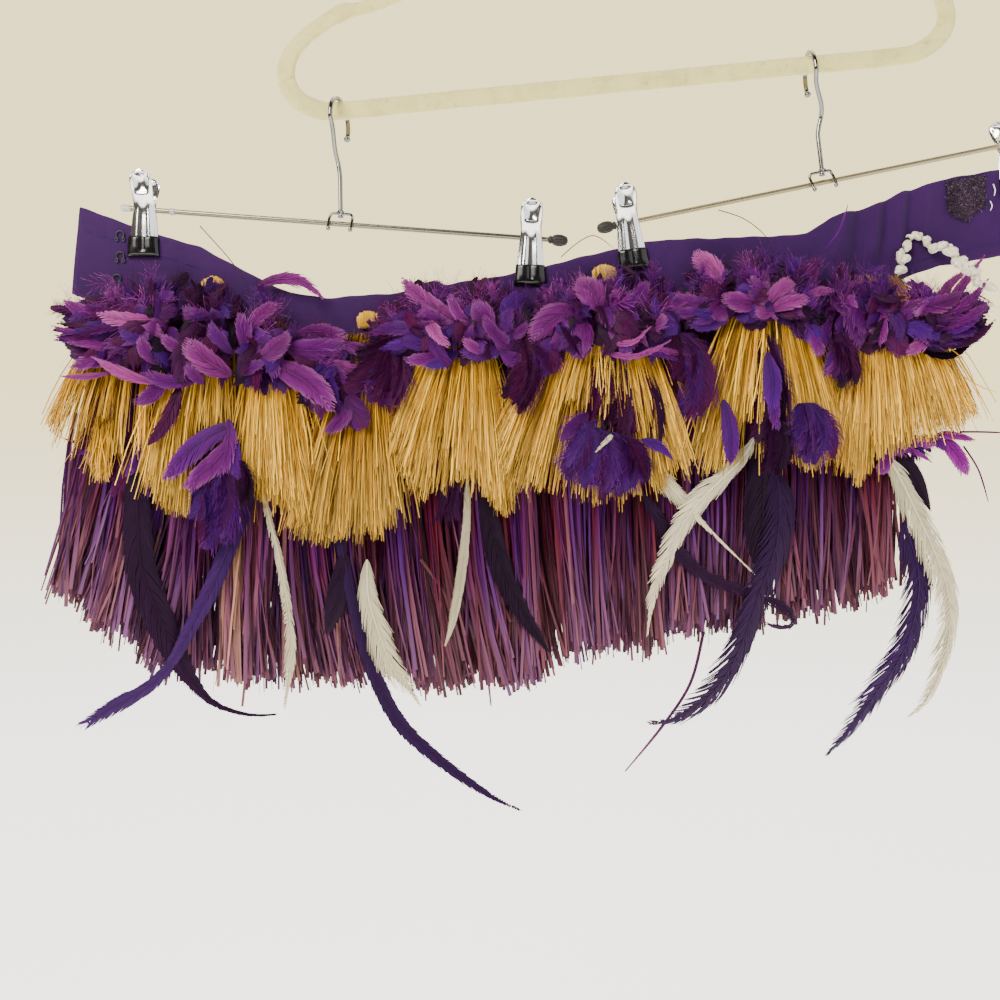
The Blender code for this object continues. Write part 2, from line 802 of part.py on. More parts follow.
def build_shells():
    """Shells threaded closely on a cord over the band."""
    beads = []
    path = smooth_path(SHELL_PATH, 2)
    y = -0.5 * BAND_WALL - GAP - SHELL_RADIUS
    for index, (x, z) in enumerate(path):
        beads.append((x, y, z, SHELL_RADIUS if index % 2 else 0.45 * SHELL_RADIUS))
    beads[0] = (*beads[0][:3], THREAD_RADIUS)
    beads[-1] = (*beads[-1][:3], THREAD_RADIUS)
    tube("shell_string", "shell", beads, 8)


def hanger_frame():
    """Place of the flocked hanger, tilted about the inside top of its hook."""
    return Matrix.Rotation(-HANGER_TILT, 4, "Y") @ Matrix.Translation((0.0, 0.0, -HANGER_HEIGHT))


def build_hanger():
    """Flocked hanger: one loop of flat bar, and its wire hook."""
    place = hanger_frame()
    left = [(-x, z, height) for x, z, height in reversed(HANGER_HALF)]
    loop = list(HANGER_HALF) + [HANGER_NECK] + left
    count = len(loop)
    flat, deep = 0.5, 0.5 * HANGER_THICK
    section = ((flat, 0.4 * deep), (0.6 * flat, deep), (-0.6 * flat, deep), (-flat, 0.4 * deep),
               (-flat, -0.4 * deep), (-0.6 * flat, -deep), (0.6 * flat, -deep), (flat, -0.4 * deep))
    points, faces = [], []
    for index, (x, z, height) in enumerate(loop):
        before, after = loop[index - 1], loop[(index + 1) % count]
        way = Vector((after[0] - before[0], 0.0, after[1] - before[1])).normalized()
        outward = Vector((way.z, 0.0, -way.x))
        for share, depth in section:
            points.append(place @ (Vector((x, depth, z)) + outward * share * height))
    sides = len(section)
    for index in range(count):
        ring, following = index * sides, (index + 1) % count * sides
        for side in range(sides):
            beside = (side + 1) % sides
            faces.append((ring + side, ring + beside, following + beside, following + side))
    make_solid("velvet_hanger", "flock", points, faces)

    centre = HANGER_HEIGHT + HANGER_HOOK_RADIUS - HANGER_HOOK_BEND
    wire = []
    for step in range(13):
        angle = math.radians(205.0 - 260.0 * step / 12)
        wire.append((HANGER_HOOK_BEND * math.cos(angle), centre + HANGER_HOOK_BEND * math.sin(angle)))
    wire += [(4.5, 181.5), (0.8, 173.0), (0.0, 160.0), (0.0, HANGER_NECK[1] + 0.5 * HANGER_NECK[2] + GAP)]
    path = [(*(place @ Vector((x, 0.0, z))), HANGER_HOOK_RADIUS) for x, z in wire]
    tube("velvet_hanger_hook", "chrome", path, WIRE_SIDES)


def build_clip_hangers():
    """Wire rods, their end caps and their hooks."""
    for rod in RODS:
        start = Vector((rod.left_x, 0.0, rod.left_z))
        end = Vector((rod.right_x, 0.0, rod.right_z))
        way = (end - start).normalized()
        caps = [(end, -way)]
        if rod.name == "right_rod":
            caps.append((start, way))
            start = start + way * (TIP_LENGTH + GAP)
        end = end - way * (TIP_LENGTH + GAP)
        tube(rod.name, "chrome", [(*start, ROD_RADIUS), (*end, ROD_RADIUS)], ROD_SIDES)
        for number, (tip, inward) in enumerate(caps):
            profile = ((0.0, 0.4), (0.06, 0.7), (0.25, 1.0), (0.6, 1.0), (0.92, 0.8), (1.0, 0.6))
            path = [(*(tip + inward * TIP_LENGTH * share), TIP_RADIUS * size) for share, size in profile]
            tube(f"{rod.name}_tip_{number + 1}", "vinyl", path, ROD_SIDES)
    for hook in HOOKS:
        turn = math.radians(hook.turn)
        centre = hook.crown_z - HOOK_BEND
        rows = [(0.0, hook.foot_z), (0.0, hook.foot_z + 14.0), (0.0, centre - 27.0), (5.5, centre - 17.0)]
        for step in range(9):
            angle = math.radians(-22.0 + 232.0 * step / 8)
            rows.append((HOOK_BEND * math.cos(angle), centre + HOOK_BEND * math.sin(angle)))
        path = []
        for front, z in smooth_path(rows, 2):
            share = (z - hook.foot_z) / (hook.crown_z - hook.foot_z)
            x = hook.foot_x + (hook.crown_x - hook.foot_x) * share
            path.append((x - math.sin(turn) * front, -math.cos(turn) * front, z, HOOK_RADIUS))
        tube(hook.name, "chrome", path, WIRE_SIDES)


def build_clips():
    """Two sprung leaves to a clip, thicker at the booted lower end."""
    for clip in CLIPS:
        top = Vector((clip.top_x, 0.0, clip.top_z))
        down_way = (Vector((clip.low_x, 0.0, clip.low_z)) - top).normalized()
        side_way = Vector((-down_way.z, 0.0, down_way.x))
        for leaf_name, facing in (("front", -1.0), ("back", 1.0)):
            outer, inner = [], []
            for leaf in LEAF:
                wall = BOOT_WALL if leaf.down >= CLIP_LENGTH - BOOT_LENGTH else LEAF_WALL
                outer_row, inner_row = [], []
                for share in (-0.5, -0.28, 0.28, 0.5):
                    spot = top + down_way * leaf.down + side_way * leaf.width * share
                    crown = 0.6 if abs(share) < 0.4 else 0.0
                    inner_row.append(spot + Vector((0.0, facing * leaf.inside, 0.0)))
                    outer_row.append(spot + Vector((0.0, facing * (leaf.inside + wall + crown), 0.0)))
                outer.append(outer_row)
                inner.append(inner_row)
            slab(f"{clip.name}_{leaf_name}", "chrome", outer, inner, smooth=False)


def main():
    """Clear the scene and build every piece."""
    for item in list(bpy.data.objects):
        bpy.data.objects.remove(item, do_unlink=True)
    build_hanger()
    build_clip_hangers()
    build_clips()
    build_band()
    build_patch()
    build_fastenings()
    build_fringe()
    build_fans()
    build_clusters()
    build_feathers()
    build_shells()


main()
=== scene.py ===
"""Looks of a raffia and feather hip skirt, opened flat and clipped to two wire hangers.

Tables and sizes are in millimetres, and MeshBatch.build makes metres of them.
X runs to the right, Y away from the front of the skirt, Z up, from the inside top of the
flocked hanger's hook.
"""

import json
import logging
import math
from dataclasses import dataclass
from enum import Enum
from typing import Callable, NamedTuple, Sequence

import bmesh
import bpy
import numpy as np
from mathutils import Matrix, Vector

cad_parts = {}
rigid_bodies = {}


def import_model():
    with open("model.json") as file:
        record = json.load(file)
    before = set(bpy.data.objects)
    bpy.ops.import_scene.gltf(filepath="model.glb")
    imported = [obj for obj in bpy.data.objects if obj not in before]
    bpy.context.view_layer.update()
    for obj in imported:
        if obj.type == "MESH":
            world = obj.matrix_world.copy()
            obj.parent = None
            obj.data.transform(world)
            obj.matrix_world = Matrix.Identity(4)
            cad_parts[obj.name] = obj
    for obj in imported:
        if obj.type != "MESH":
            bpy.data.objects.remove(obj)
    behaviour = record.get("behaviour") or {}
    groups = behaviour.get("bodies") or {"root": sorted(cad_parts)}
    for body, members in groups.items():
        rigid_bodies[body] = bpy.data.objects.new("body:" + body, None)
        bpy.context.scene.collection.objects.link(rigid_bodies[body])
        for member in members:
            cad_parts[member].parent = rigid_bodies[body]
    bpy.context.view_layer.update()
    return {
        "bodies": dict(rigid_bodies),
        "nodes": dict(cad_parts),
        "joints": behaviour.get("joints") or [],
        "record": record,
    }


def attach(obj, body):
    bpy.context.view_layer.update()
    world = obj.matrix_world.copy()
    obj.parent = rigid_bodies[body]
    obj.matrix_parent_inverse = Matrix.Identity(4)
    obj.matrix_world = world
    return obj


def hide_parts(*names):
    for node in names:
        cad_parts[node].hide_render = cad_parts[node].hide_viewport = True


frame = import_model()

log = logging.getLogger("skirt")
MM = 0.001
TURN = 2.0 * math.pi
FRONT, BACK, UP = np.array((0.0, -1.0, 0.0)), np.array((0.0, 1.0, 0.0)), np.array((0.0, 0.0, 1.0))

Array = np.ndarray
Dice = np.random.Generator
Material = bpy.types.Material
Piece = bpy.types.Object
Colour = tuple[float, float, float]
Pair = tuple[float, float]
Triple = tuple[float, float, float]
Field = Callable[[Array, Array], Array]


# ------------------------------------------------------------------ small maths


def held(value: Array | float) -> Array:
    """A value kept between 0 and 1."""
    return np.clip(value, 0.0, 1.0)


def ease(value: Array | float) -> Array:
    """Smooth step from 0 to 1."""
    kept = held(value)
    return kept * kept * (3.0 - 2.0 * kept)


def spots(x: Array, y: Array, z: Array) -> Array:
    """Points of three coordinates."""
    return np.stack([x, y, z], axis=-1)


def dome(start: float, end: float, count: int) -> Array:
    """Radii of a unit ball from one share of its axis to another."""
    return np.sqrt(np.clip(1.0 - np.linspace(start, end, count) ** 2, 0.01, 1.0))


def unit(rows: Array) -> Array:
    """Rows of vectors at length 1."""
    return rows / np.maximum(np.linalg.norm(rows, axis=-1, keepdims=True), 1e-9)


def linear(red: float, green: float, blue: float) -> Colour:
    """Scene-linear colour of an 8-bit screen colour."""
    return tuple(((c / 255.0 + 0.055) / 1.055) ** 2.4 if c > 10.0 else c / 3294.6
                 for c in (red, green, blue))


def smooth_path(rows: Sequence[Sequence[float]], steps: int, closed: bool = False) -> Array:
    """Catmull-Rom curve through rows of numbers.

    Args:
        rows: points or wider rows, such as x, z, width.
        steps: pieces between two rows.
        closed: whether the last row joins the first.

    Returns:
        The rows of the curve.
    """
    knots = np.array(rows, float)
    if closed:
        padded = np.concatenate([knots[-1:], knots, knots[:2]])
    else:
        padded = np.concatenate([knots[:1], knots, knots[-1:]])
    t = np.linspace(0.0, 1.0, steps, endpoint=False)[:, None]
    runs = []
    for index in range(len(padded) - 3):
        p, q, r, s = padded[index:index + 4]
        runs.append(0.5 * (2.0 * q + (r - p) * t + (2.0 * p - 5.0 * q + 4.0 * r - s) * t**2
                           + (3.0 * q - p - 3.0 * r + s) * t**3))
    return np.concatenate(runs if closed else runs + [knots[-1:]])


def lookup(share: Array, knots: Array, table: Array) -> Array:
    """Rows of a table between its knots."""
    return np.stack([np.interp(share, knots, column) for column in table.T], axis=-1)


def even(path: Array, share: Array) -> Array:
    """Rows of a path at shares of its length, measured over its first three columns.

    Args:
        path: rows of x, y, z and more.
        share: where to read it, from 0 to 1.

    Returns:
        The rows at those shares.
    """
    steps = np.linalg.norm(np.diff(path[:, :3], axis=0), axis=1)
    run = np.concatenate([[0.0], np.cumsum(steps)])
    return lookup(share * run[-1], run, path)


# ------------------------------------------------------------------ shader kit


class Wire:
    """A shader socket that takes part in Python arithmetic."""

    def __init__(self, board: "Board", socket: bpy.types.NodeSocket) -> None:
        """Keeps the board and the socket."""
        self.board = board
        self.socket = socket

    def _join(self, operation: str, first: "Wire | float", second: "Wire | float") -> "Wire":
        """Math node on two values."""
        return self.board.node("ShaderNodeMath", {"operation": operation}, {0: first, 1: second})

    def __add__(self, other: "Wire | float") -> "Wire":
        """Sum."""
        return self._join("ADD", self, other)

    def __radd__(self, other: float) -> "Wire":
        """Sum, reflected."""
        return self._join("ADD", other, self)

    def __sub__(self, other: "Wire | float") -> "Wire":
        """Difference."""
        return self._join("SUBTRACT", self, other)

    def __rsub__(self, other: float) -> "Wire":
        """Difference, reflected."""
        return self._join("SUBTRACT", other, self)

    def __mul__(self, other: "Wire | float") -> "Wire":
        """Product."""
        return self._join("MULTIPLY", self, other)

    def __rmul__(self, other: float) -> "Wire":
        """Product, reflected."""
        return self._join("MULTIPLY", other, self)


class Board:
    """The node tree of one material."""

    def __init__(self, name: str) -> None:
        """Makes the material with its Principled shader.

        Args:
            name: the material's name.
        """
        self.material = bpy.data.materials.new(name)
        self.material.use_nodes = True
        self.tree = self.material.node_tree
        self.shader = self.tree.nodes["Principled BSDF"]

    def node(self, kind: str, settings: dict | None = None, inputs: dict | None = None,
             output: int | str = 0) -> Wire:
        """Adds a node.

        Args:
            kind: the node's type.
            settings: its properties, and "stops" for a ramp's stops, set before its sockets.
            inputs: values or wires by socket name or number.
            output: the socket that is handed on.

        Returns:
            The wire of that output.
        """
        made = self.tree.nodes.new(kind)
        for key, value in (settings or {}).items():
            if key == "stops":
                self._set_stops(made.color_ramp, value)
            else:
                setattr(made, key, value)
        for key, value in (inputs or {}).items():
            self.feed(made.inputs[key], value)
        return Wire(self, made.outputs[output])

    @staticmethod
    def _set_stops(ramp: bpy.types.ColorRamp, stops: Sequence[tuple[float, Colour]]) -> None:
        """Gives a ramp its stops.

        Args:
            ramp: the ramp.
            stops: place and colour of each stop.
        """
        while len(ramp.elements) < len(stops):
            ramp.elements.new(0.5)
        for element, (place, colour) in zip(ramp.elements, stops):
            element.position = place
            element.color = (*colour, 1.0)

    def feed(self, socket: bpy.types.NodeSocket, value: "Wire | float | Sequence[float]") -> None:
        """Links a wire to a socket, or sets its value.

        Args:
            socket: the input.
            value: a wire, a number, or a vector's or colour's numbers.
        """
        if isinstance(value, Wire):
            self.tree.links.new(value.socket, socket)
        elif isinstance(value, (int, float)) or len(value) != 3 or socket.type != "RGBA":
            socket.default_value = value
        else:
            socket.default_value = (*value, 1.0)

    def dress(self, **sockets: "Wire | float | Sequence[float]") -> Material:
        """Feeds the Principled shader by socket names with underscores.

        Args:
            sockets: values or wires.

        Returns:
            The material.
        """
        for name, value in sockets.items():
            self.feed(self.shader.inputs[name.replace("_", " ").title().replace("Ior", "IOR")], value)
        self.material.diffuse_color = (*self.shader.inputs["Base Color"].default_value[:3], 1.0)
        return self.material

    def mark(self, name: str) -> Wire:
        """A point attribute of the mesh."""
        return self.node("ShaderNodeAttribute", {"attribute_name": name}, output="Fac")

    def place(self) -> Wire:
        """Where the point is, in metres."""
        return self.node("ShaderNodeTexCoord", output="Object")

    def noise(self, vector: Wire, scale: float, detail: float = 2.0, roughness: float = 0.5) -> Wire:
        """Noise from 0 to 1."""
        return self.node("ShaderNodeTexNoise", None,
                         {"Vector": vector, "Scale": scale, "Detail": detail, "Roughness": roughness})

    def stretch(self, vector: Wire, by: Sequence[float]) -> Wire:
        """A vector with each part scaled."""
        return self.node("ShaderNodeVectorMath", {"operation": "MULTIPLY"}, {0: vector, 1: by})

    def pack(self, x: "Wire | float", y: "Wire | float", z: "Wire | float") -> Wire:
        """A vector of three values."""
        return self.node("ShaderNodeCombineXYZ", None, {0: x, 1: y, 2: z})

    def part(self, vector: Wire, axis: int) -> Wire:
        """One value of a vector."""
        return self.node("ShaderNodeSeparateXYZ", None, {0: vector}, output=axis)

    def ramp(self, value: Wire, stops: Sequence[tuple[float, Colour]]) -> Wire:
        """Colour by value."""
        return self.node("ShaderNodeValToRGB", {"stops": stops}, {0: value})

    def lighten(self, colour: Wire, by: Wire) -> Wire:
        """A colour times a value."""
        return self.node("ShaderNodeVectorMath", {"operation": "SCALE"}, {0: colour, "Scale": by})

    def mix(self, share: "Wire | float", first: "Wire | Colour", second: "Wire | Colour") -> Wire:
        """One colour to another by share."""
        return self.node("ShaderNodeMix", {"data_type": "RGBA"}, {0: share, 6: first, 7: second}, output=2)

    def step(self, value: Wire, low: float, high: float) -> Wire:
        """Smooth step of a value from low to high."""
        return self.node("ShaderNodeMapRange", {"interpolation_type": "SMOOTHSTEP"},
                         {0: value, 1: low, 2: high})

    def relief(self, height: Wire, strength: float, depth: float) -> Wire:
        """Surface normal of a height."""
        return self.node("ShaderNodeBump", None, {"Height": height, "Strength": strength, "Distance": depth})


# ------------------------------------------------------------------ finishes


@dataclass(frozen=True)
class StrandFinish:
    """Fibres, straws and barbs that take their colour from the strip's own marks."""

    name: str
    stops: tuple[tuple[float, Colour], ...]
    roughness: float = 0.6
    streaks: float = 5.0
    contrast: float = 0.5
    root_shade: float = 0.7
    relief: float = 0.15
    sheen: float = 0.0
    tip: Colour = (128, 128, 128)
    tip_share: float = 0.0
    tip_from: float = -1.0
    gloss: float = 0.12

    def make(self) -> Material:
        """Draws the fibres.

        Returns:
            The material.
        """
        board = Board(self.name)
        along, across = board.mark("along"), board.mark("across")
        tint, shade = board.mark("tint"), board.mark("shade")
        where = board.pack(across * self.streaks, along * 3.0, tint * 91.0 + shade * 37.0)
        grain = board.noise(where, 1.0, 3.0)
        light = shade * (grain * self.contrast + (1.0 - 0.5 * self.contrast))
        # Painted shade: each strip darker towards its root, down to root_shade; the shade mark brings in each
        # strip's random tone and painted shade.
        light = light * (board.step(along, 0.0, 0.45) * (1.0 - self.root_shade) + self.root_shade)
        colour = board.ramp(tint, [(place, linear(*stop)) for place, stop in self.stops])
        if self.tip_share:
            pale = board.step(along, 0.55, 1.0) * board.step(tint, self.tip_from, self.tip_from + 0.5)
            colour = board.mix(pale * self.tip_share, colour, linear(*self.tip))
        colour = board.lighten(colour, light)
        return board.dress(base_color=colour, roughness=self.roughness, specular_ior_level=self.gloss,
                           sheen_weight=self.sheen, sheen_roughness=0.4,
                           normal=board.relief(grain, self.relief, 0.0004))


@dataclass(frozen=True)
class MetalFinish:
    """Plated wire and pressed steel, with faint smears."""

    name: str
    colour: Colour
    roughness: float = 0.08
    smear: float = 0.12

    def make(self) -> Material:
        """Draws the metal.

        Returns:
            The material.
        """
        board = Board(self.name)
        haze = board.noise(board.place(), 90.0, 4.0, 0.6)
        fine = board.noise(board.stretch(board.place(), (1.0, 1.0, 0.25)), 1400.0, 2.0)
        return board.dress(base_color=linear(*self.colour), metallic=1.0,
                           roughness=haze * self.smear + self.roughness,
                           normal=board.relief(fine, 0.04, 0.0002))


@dataclass(frozen=True)
class CottonFinish:
    """Dyed plain-weave cotton, redder at the left end and bluer at the right."""

    name: str = "purple_cotton"
    left: Colour = (48, 14, 66)
    right: Colour = (46, 9, 66)
    weave: float = 2600.0

    def make(self) -> Material:
        """Draws the cloth.

        Returns:
            The material.
        """
        board = Board(self.name)
        place = board.place()
        side = board.step(board.part(place, 0), -0.25, 0.2)
        worn = board.noise(board.stretch(place, (1.0, 0.3, 1.0)), 26.0, 5.0, 0.6)
        slub = board.noise(board.stretch(place, (0.25, 1.0, 3.0)), 700.0, 2.0)
        colour = board.mix(side, linear(*self.left), linear(*self.right))
        colour = board.lighten(colour, worn * 0.7 + slub * 0.35 + 0.48)
        warp, weft = (board.node("ShaderNodeTexWave", {"bands_direction": axis},
                                 {"Vector": place, "Scale": self.weave / 6.283, "Distortion": 0.6})
                      for axis in "XZ")
        height = warp * weft + slub * 0.6 + worn * 0.5
        return board.dress(base_color=colour, roughness=0.82, specular_ior_level=0.2, sheen_weight=0.06,
                           sheen_roughness=0.5, normal=board.relief(height, 0.35, 0.0004))


@dataclass(frozen=True)
class FlockFinish:
    """Pale flocked skin, rubbed and mottled."""

    name: str = "pale_flock"
    colour: Colour = (222, 210, 128)
    worn: Colour = (206, 193, 114)

    def make(self) -> Material:
        """Draws the flock.

        Returns:
            The material.
        """
        board = Board(self.name)
        place = board.place()
        mottle = board.noise(place, 60.0, 5.0, 0.65)
        nap = board.noise(place, 1900.0, 2.0)
        rubbed = board.step(board.noise(place, 240.0, 4.0, 0.7), 0.6, 0.72)
        colour = board.mix(board.step(mottle, 0.42, 0.68), linear(*self.colour), linear(*self.worn))
        colour = board.mix(rubbed * 0.5, colour, linear(150, 138, 96))
        return board.dress(base_color=board.lighten(colour, nap * 0.3 + 0.85), roughness=0.95,
                           sheen_weight=0.3, sheen_roughness=0.6,
                           normal=board.relief(nap + mottle * 0.8, 0.5, 0.0006))


@dataclass(frozen=True)
class MouldedFinish:
    """Dipped vinyl, enamelled wire, shell and other plain hard skins with a fine grain."""

    name: str
    colour: Colour
    second: Colour
    roughness: float
    scale: float = 300.0
    relief: float = 0.15

    def make(self) -> Material:
        """Draws the skin.

        Returns:
            The material.
        """
        board = Board(self.name)
        cloud = board.noise(board.place(), self.scale, 4.0, 0.6)
        colour = board.mix(board.step(cloud, 0.38, 0.66), linear(*self.colour), linear(*self.second))
        return board.dress(base_color=colour, roughness=cloud * 0.2 + self.roughness,
                           normal=board.relief(cloud, self.relief, 0.0004))


VIOLET_STOPS = ((0.0, (22, 0, 24)), (0.14, (50, 0, 50)), (0.28, (72, 0, 54)), (0.4, (56, 0, 98)),
                (0.56, (80, 0, 88)), (0.76, (100, 14, 98)), (1.0, (148, 58, 124)))
RAFFIA_STOPS = ((0.0, (28, 2, 20)), (0.14, (76, 8, 28)), (0.28, (66, 8, 50)), (0.45, (56, 10, 80)),
                (0.62, (86, 34, 60)), (0.8, (108, 64, 66)), (1.0, (142, 104, 72)))
FIBRE_STOPS = ((0.0, (84, 54, 10)), (0.35, (156, 106, 16)), (0.65, (206, 148, 26)), (1.0, (234, 190, 70)))
DARK_STOPS = ((0.0, (22, 6, 22)), (0.4, (36, 11, 38)), (0.6, (44, 18, 62)), (1.0, (70, 20, 104)))
CREAM_STOPS = ((0.0, (160, 146, 112)), (0.5, (208, 196, 160)), (1.0, (230, 222, 196)))
FLEECE_STOPS = ((0.0, (32, 22, 34)), (0.6, (62, 46, 60)), (1.0, (124, 110, 124)))
THREAD_STOPS = ((0.0, (38, 20, 72)), (1.0, (64, 40, 110)))
PALE_STOPS = ((0.0, (220, 214, 220)), (1.0, (236, 232, 236)))


class Finishes:
    """Every material of the piece, made once."""

    def __init__(self) -> None:
        """Makes them."""
        self.violet = StrandFinish("violet_feather", VIOLET_STOPS, streaks=4.0, contrast=0.4, root_shade=0.5,
                                   relief=0.1, tip=(174, 112, 156), tip_share=0.34, tip_from=0.3).make()
        self.raffia = StrandFinish("purple_raffia", RAFFIA_STOPS, 0.5, contrast=0.6, root_shade=0.5,
                                   relief=0.3, tip=(156, 116, 124), tip_share=0.22).make()
        self.fibre = StrandFinish("tan_fibre", FIBRE_STOPS, 0.55, streaks=4.0, contrast=0.6, root_shade=0.45,
                                  relief=0.25, tip=(240, 204, 104), tip_share=0.25).make()
        self.dark = StrandFinish("dark_feather", DARK_STOPS, 0.45, streaks=3.0, root_shade=0.85, relief=0.1,
                                 sheen=0.05).make()
        self.cream = StrandFinish("cream_feather", CREAM_STOPS, streaks=3.0, contrast=0.25, root_shade=0.85,
                                  relief=0.1, sheen=0.2).make()
        self.fleece = StrandFinish("fastener_fleece", FLEECE_STOPS, 0.95, streaks=2.0, relief=0.2).make()
        self.thread = StrandFinish("stitch_thread", THREAD_STOPS, 0.7).make()
        self.chrome = MetalFinish("bright_chrome", (244, 244, 242), 0.1, 0.12).make()
        self.hook_chrome = MetalFinish("hook_chrome", (128, 128, 126), 0.08, 0.1).make()
        self.warm_rod = MetalFinish("worn_chrome", (158, 146, 114), 0.3, 0.2).make()
        self.cotton = CottonFinish().make()
        self.flock = FlockFinish().make()
        self.dull_chrome = MetalFinish("dull_chrome", (128, 122, 108), 0.18, 0.15).make()
        self.clear = MouldedFinish("clear_ferrule", (206, 204, 196), (160, 158, 150), 0.1, 200.0, 0.1).make()
        self.cap = MouldedFinish("dark_cap", (16, 12, 6), (30, 24, 13), 0.5, 260.0, 0.15).make()
        self.pale_thread = MouldedFinish("pale_thread", (206, 196, 170), (170, 158, 130), 0.8, 900.0,
                                         0.4).make()
        self.pale_strand = StrandFinish("pale_strand", PALE_STOPS, 0.8).make()
        self.vinyl = MouldedFinish("black_vinyl", (8, 6, 7), (16, 13, 14), 0.12, 160.0, 0.08).make()
        self.wire = MouldedFinish("black_enamel", (12, 12, 14), (30, 28, 30), 0.3, 500.0).make()
        self.shell = MouldedFinish("cream_shell", (236, 229, 208), (204, 188, 154), 0.25, 420.0, 0.4).make()


# ------------------------------------------------------------------ meshes


class MeshBatch:
    """Strips and skins kept as arrays, in millimetres, until build() joins them into one piece.

    Each strip has its own cell of the piece's map, and marks along and across it.
    """

    def __init__(self) -> None:
        """Starts empty."""
        self.points: list[Array] = []
        self.quads: list[Array] = []
        self.caps: list[Array] = []
        self.marks: list[Array] = []
        self.cells: list[Array] = []
        self.quad_finish: list[Array] = []
        self.cap_finish: list[Array] = []
        self.size = 0
        self.cell_count = 0
        self.skinned = False

    def lattice(self, points: Array, tint: Array | float = 0.5, shade: Array | float = 1.0,
                finish: int = 0, ring: bool = False) -> Array:
        """Adds strips of quads.

        Args:
            points: strips by rows by columns by 3.
            tint: colour mark of each strip.
            shade: brightness of each strip, or of each row of each strip; builders use it for random tone and
                for painted shade.
            finish: number of the material.
            ring: whether the last column joins the first.

        Returns:
            The index of each point.
        """
        strips, rows, columns = points.shape[:3]
        index = self.size + np.arange(strips * rows * columns).reshape(strips, rows, columns)
        loop = np.concatenate([index, index[:, :, :1]], axis=2) if ring else index
        quads = np.stack([loop[:, :-1, :-1], loop[:, :-1, 1:], loop[:, 1:, 1:], loop[:, 1:, :-1]], axis=-1)
        shape = (strips, rows, columns)
        shade_rows = np.asarray(shade, float)
        if shade_rows.ndim == 1:
            shade_rows = shade_rows[:, None]
        if shade_rows.ndim == 2:
            shade_rows = shade_rows[:, :, None]
        tint_rows = np.asarray(tint, float)
        if tint_rows.ndim == 1:
            tint_rows = tint_rows[:, None, None]
        along = np.linspace(0.0, 1.0, rows)[None, :, None]
        aside = np.linspace(0.0, 1.0, columns)[None, None, :]
        marks = [np.broadcast_to(mark, shape) for mark in (along, aside, tint_rows, shade_rows)]
        self.points.append(points.reshape(-1, 3))
        self.quads.append(quads.reshape(-1, 4))
        self.quad_finish.append(np.full(quads.size // 4, finish))
        self.marks.append(np.stack(marks, axis=-1).reshape(-1, 4))
        cells = self.cell_count + np.arange(strips)
        self.cells.append(np.repeat(cells, rows * columns))
        self.cell_count += strips
        self.size += strips * rows * columns
        return index

    def strips(self, middle: Array, half: Array, tint: Array | float = 0.5,
               shade: Array | float = 1.0, crown: Array | None = None) -> None:
        """Adds narrow ribbons.

        Args:
            middle: strips by rows by 3, the ribbons' middle lines.
            half: the same shape, from the middle line to one edge.
            tint: colour mark of each ribbon.
            shade: brightness of each ribbon; builders use it for random tone and for painted shade.
            crown: how far the middle line stands off the edges, or None for a flat ribbon.
        """
        columns = [middle - half, middle + half]
        if crown is not None:
            columns.insert(1, middle + crown)
        self.lattice(np.stack(columns, axis=2), tint, shade)

    def fill(self, corners: Sequence[int], finish: int = 0) -> None:
        """Closes a ring of points with a fan of triangles round its middle.

        Args:
            corners: indices of the ring's points.
            finish: number of the material.
        """
        ring = np.array(corners)
        stack = np.concatenate(self.points)
        self.points = [stack, stack[ring].mean(0, keepdims=True)]
        self.marks.append(np.array([[1.0, 0.5, 0.5, 1.0]]))
        self.cells.append(np.array([0]))
        hub = np.full(len(ring), self.size)
        self.caps.append(np.stack([ring, np.roll(ring, -1), hub], axis=1))
        self.cap_finish.append(np.full(len(ring), finish))
        self.size += 1

    def bar(self, path: Array, radius: Array | float, sides: int = 12, finish: int = 0,
            closed: bool = False, section: Array | None = None) -> None:
        """Adds a round or shaped bar along a path.

        Args:
            path: rows of x, y, z.
            radius: radius along the path, or the size that multiplies the section.
            sides: points round the bar.
            finish: number of the material.
            closed: whether the path is a loop.
            section: rows of offsets sideways and outward, for a bar that isn't round.
        """
        self.skinned = True
        if section is None:
            turn = np.linspace(0.0, TURN, sides, endpoint=False)
            section = np.stack([np.cos(turn), np.sin(turn)], axis=1)
        ahead = np.roll(path, -1, axis=0) - np.roll(path, 1, axis=0)
        if not closed:
            ahead[0], ahead[-1] = path[1] - path[0], path[-1] - path[-2]
        ahead = unit(ahead)
        sizes = np.broadcast_to(np.asarray(radius, float), (len(path),))
        side_way = np.array(Vector(ahead[0]).orthogonal().normalized())
        if abs(ahead[0][1]) < 0.9:
            side_way = BACK
        rings = np.zeros((1, len(path), len(section), 3))
        for index, way in enumerate(ahead):
            side_way = unit(side_way - way * side_way.dot(way))
            other = np.cross(way, side_way)
            offsets = section[:, :1] * side_way + section[:, 1:] * other
            rings[0, index] = path[index] + offsets * sizes[index]
        if closed:
            rings = np.concatenate([rings, rings[:, :1]], axis=1)
        index = self.lattice(rings, finish=finish, ring=True)
        if not closed:
            self.fill(index[0, 0], finish)
            self.fill(index[0, -1], finish)

    def plate(self, front: Array, back: Array, finish: int = 0) -> None:
        """Adds a closed plate between two grids of the same rows and columns.

        Args:
            front: rows by columns by 3.
            back: the same shape.
            finish: number of the material.
        """
        self.skinned = True
        front_index = self.lattice(front[None], finish=finish)[0]
        back_index = self.lattice(back[None], finish=finish)[0]
        rows, columns = front_index.shape
        rim = [(0, c) for c in range(columns)] + [(r, columns - 1) for r in range(1, rows)]
        rim += [(rows - 1, c) for c in range(columns - 2, -1, -1)] + [(r, 0) for r in range(rows - 2, 0, -1)]
        around = np.array(rim)
        outer = front_index[around[:, 0], around[:, 1]]
        inner = back_index[around[:, 0], around[:, 1]]
        quads = np.stack([outer, np.roll(outer, -1), np.roll(inner, -1), inner], axis=1)
        self.quads.append(quads)
        self.quad_finish.append(np.full(len(quads), finish))

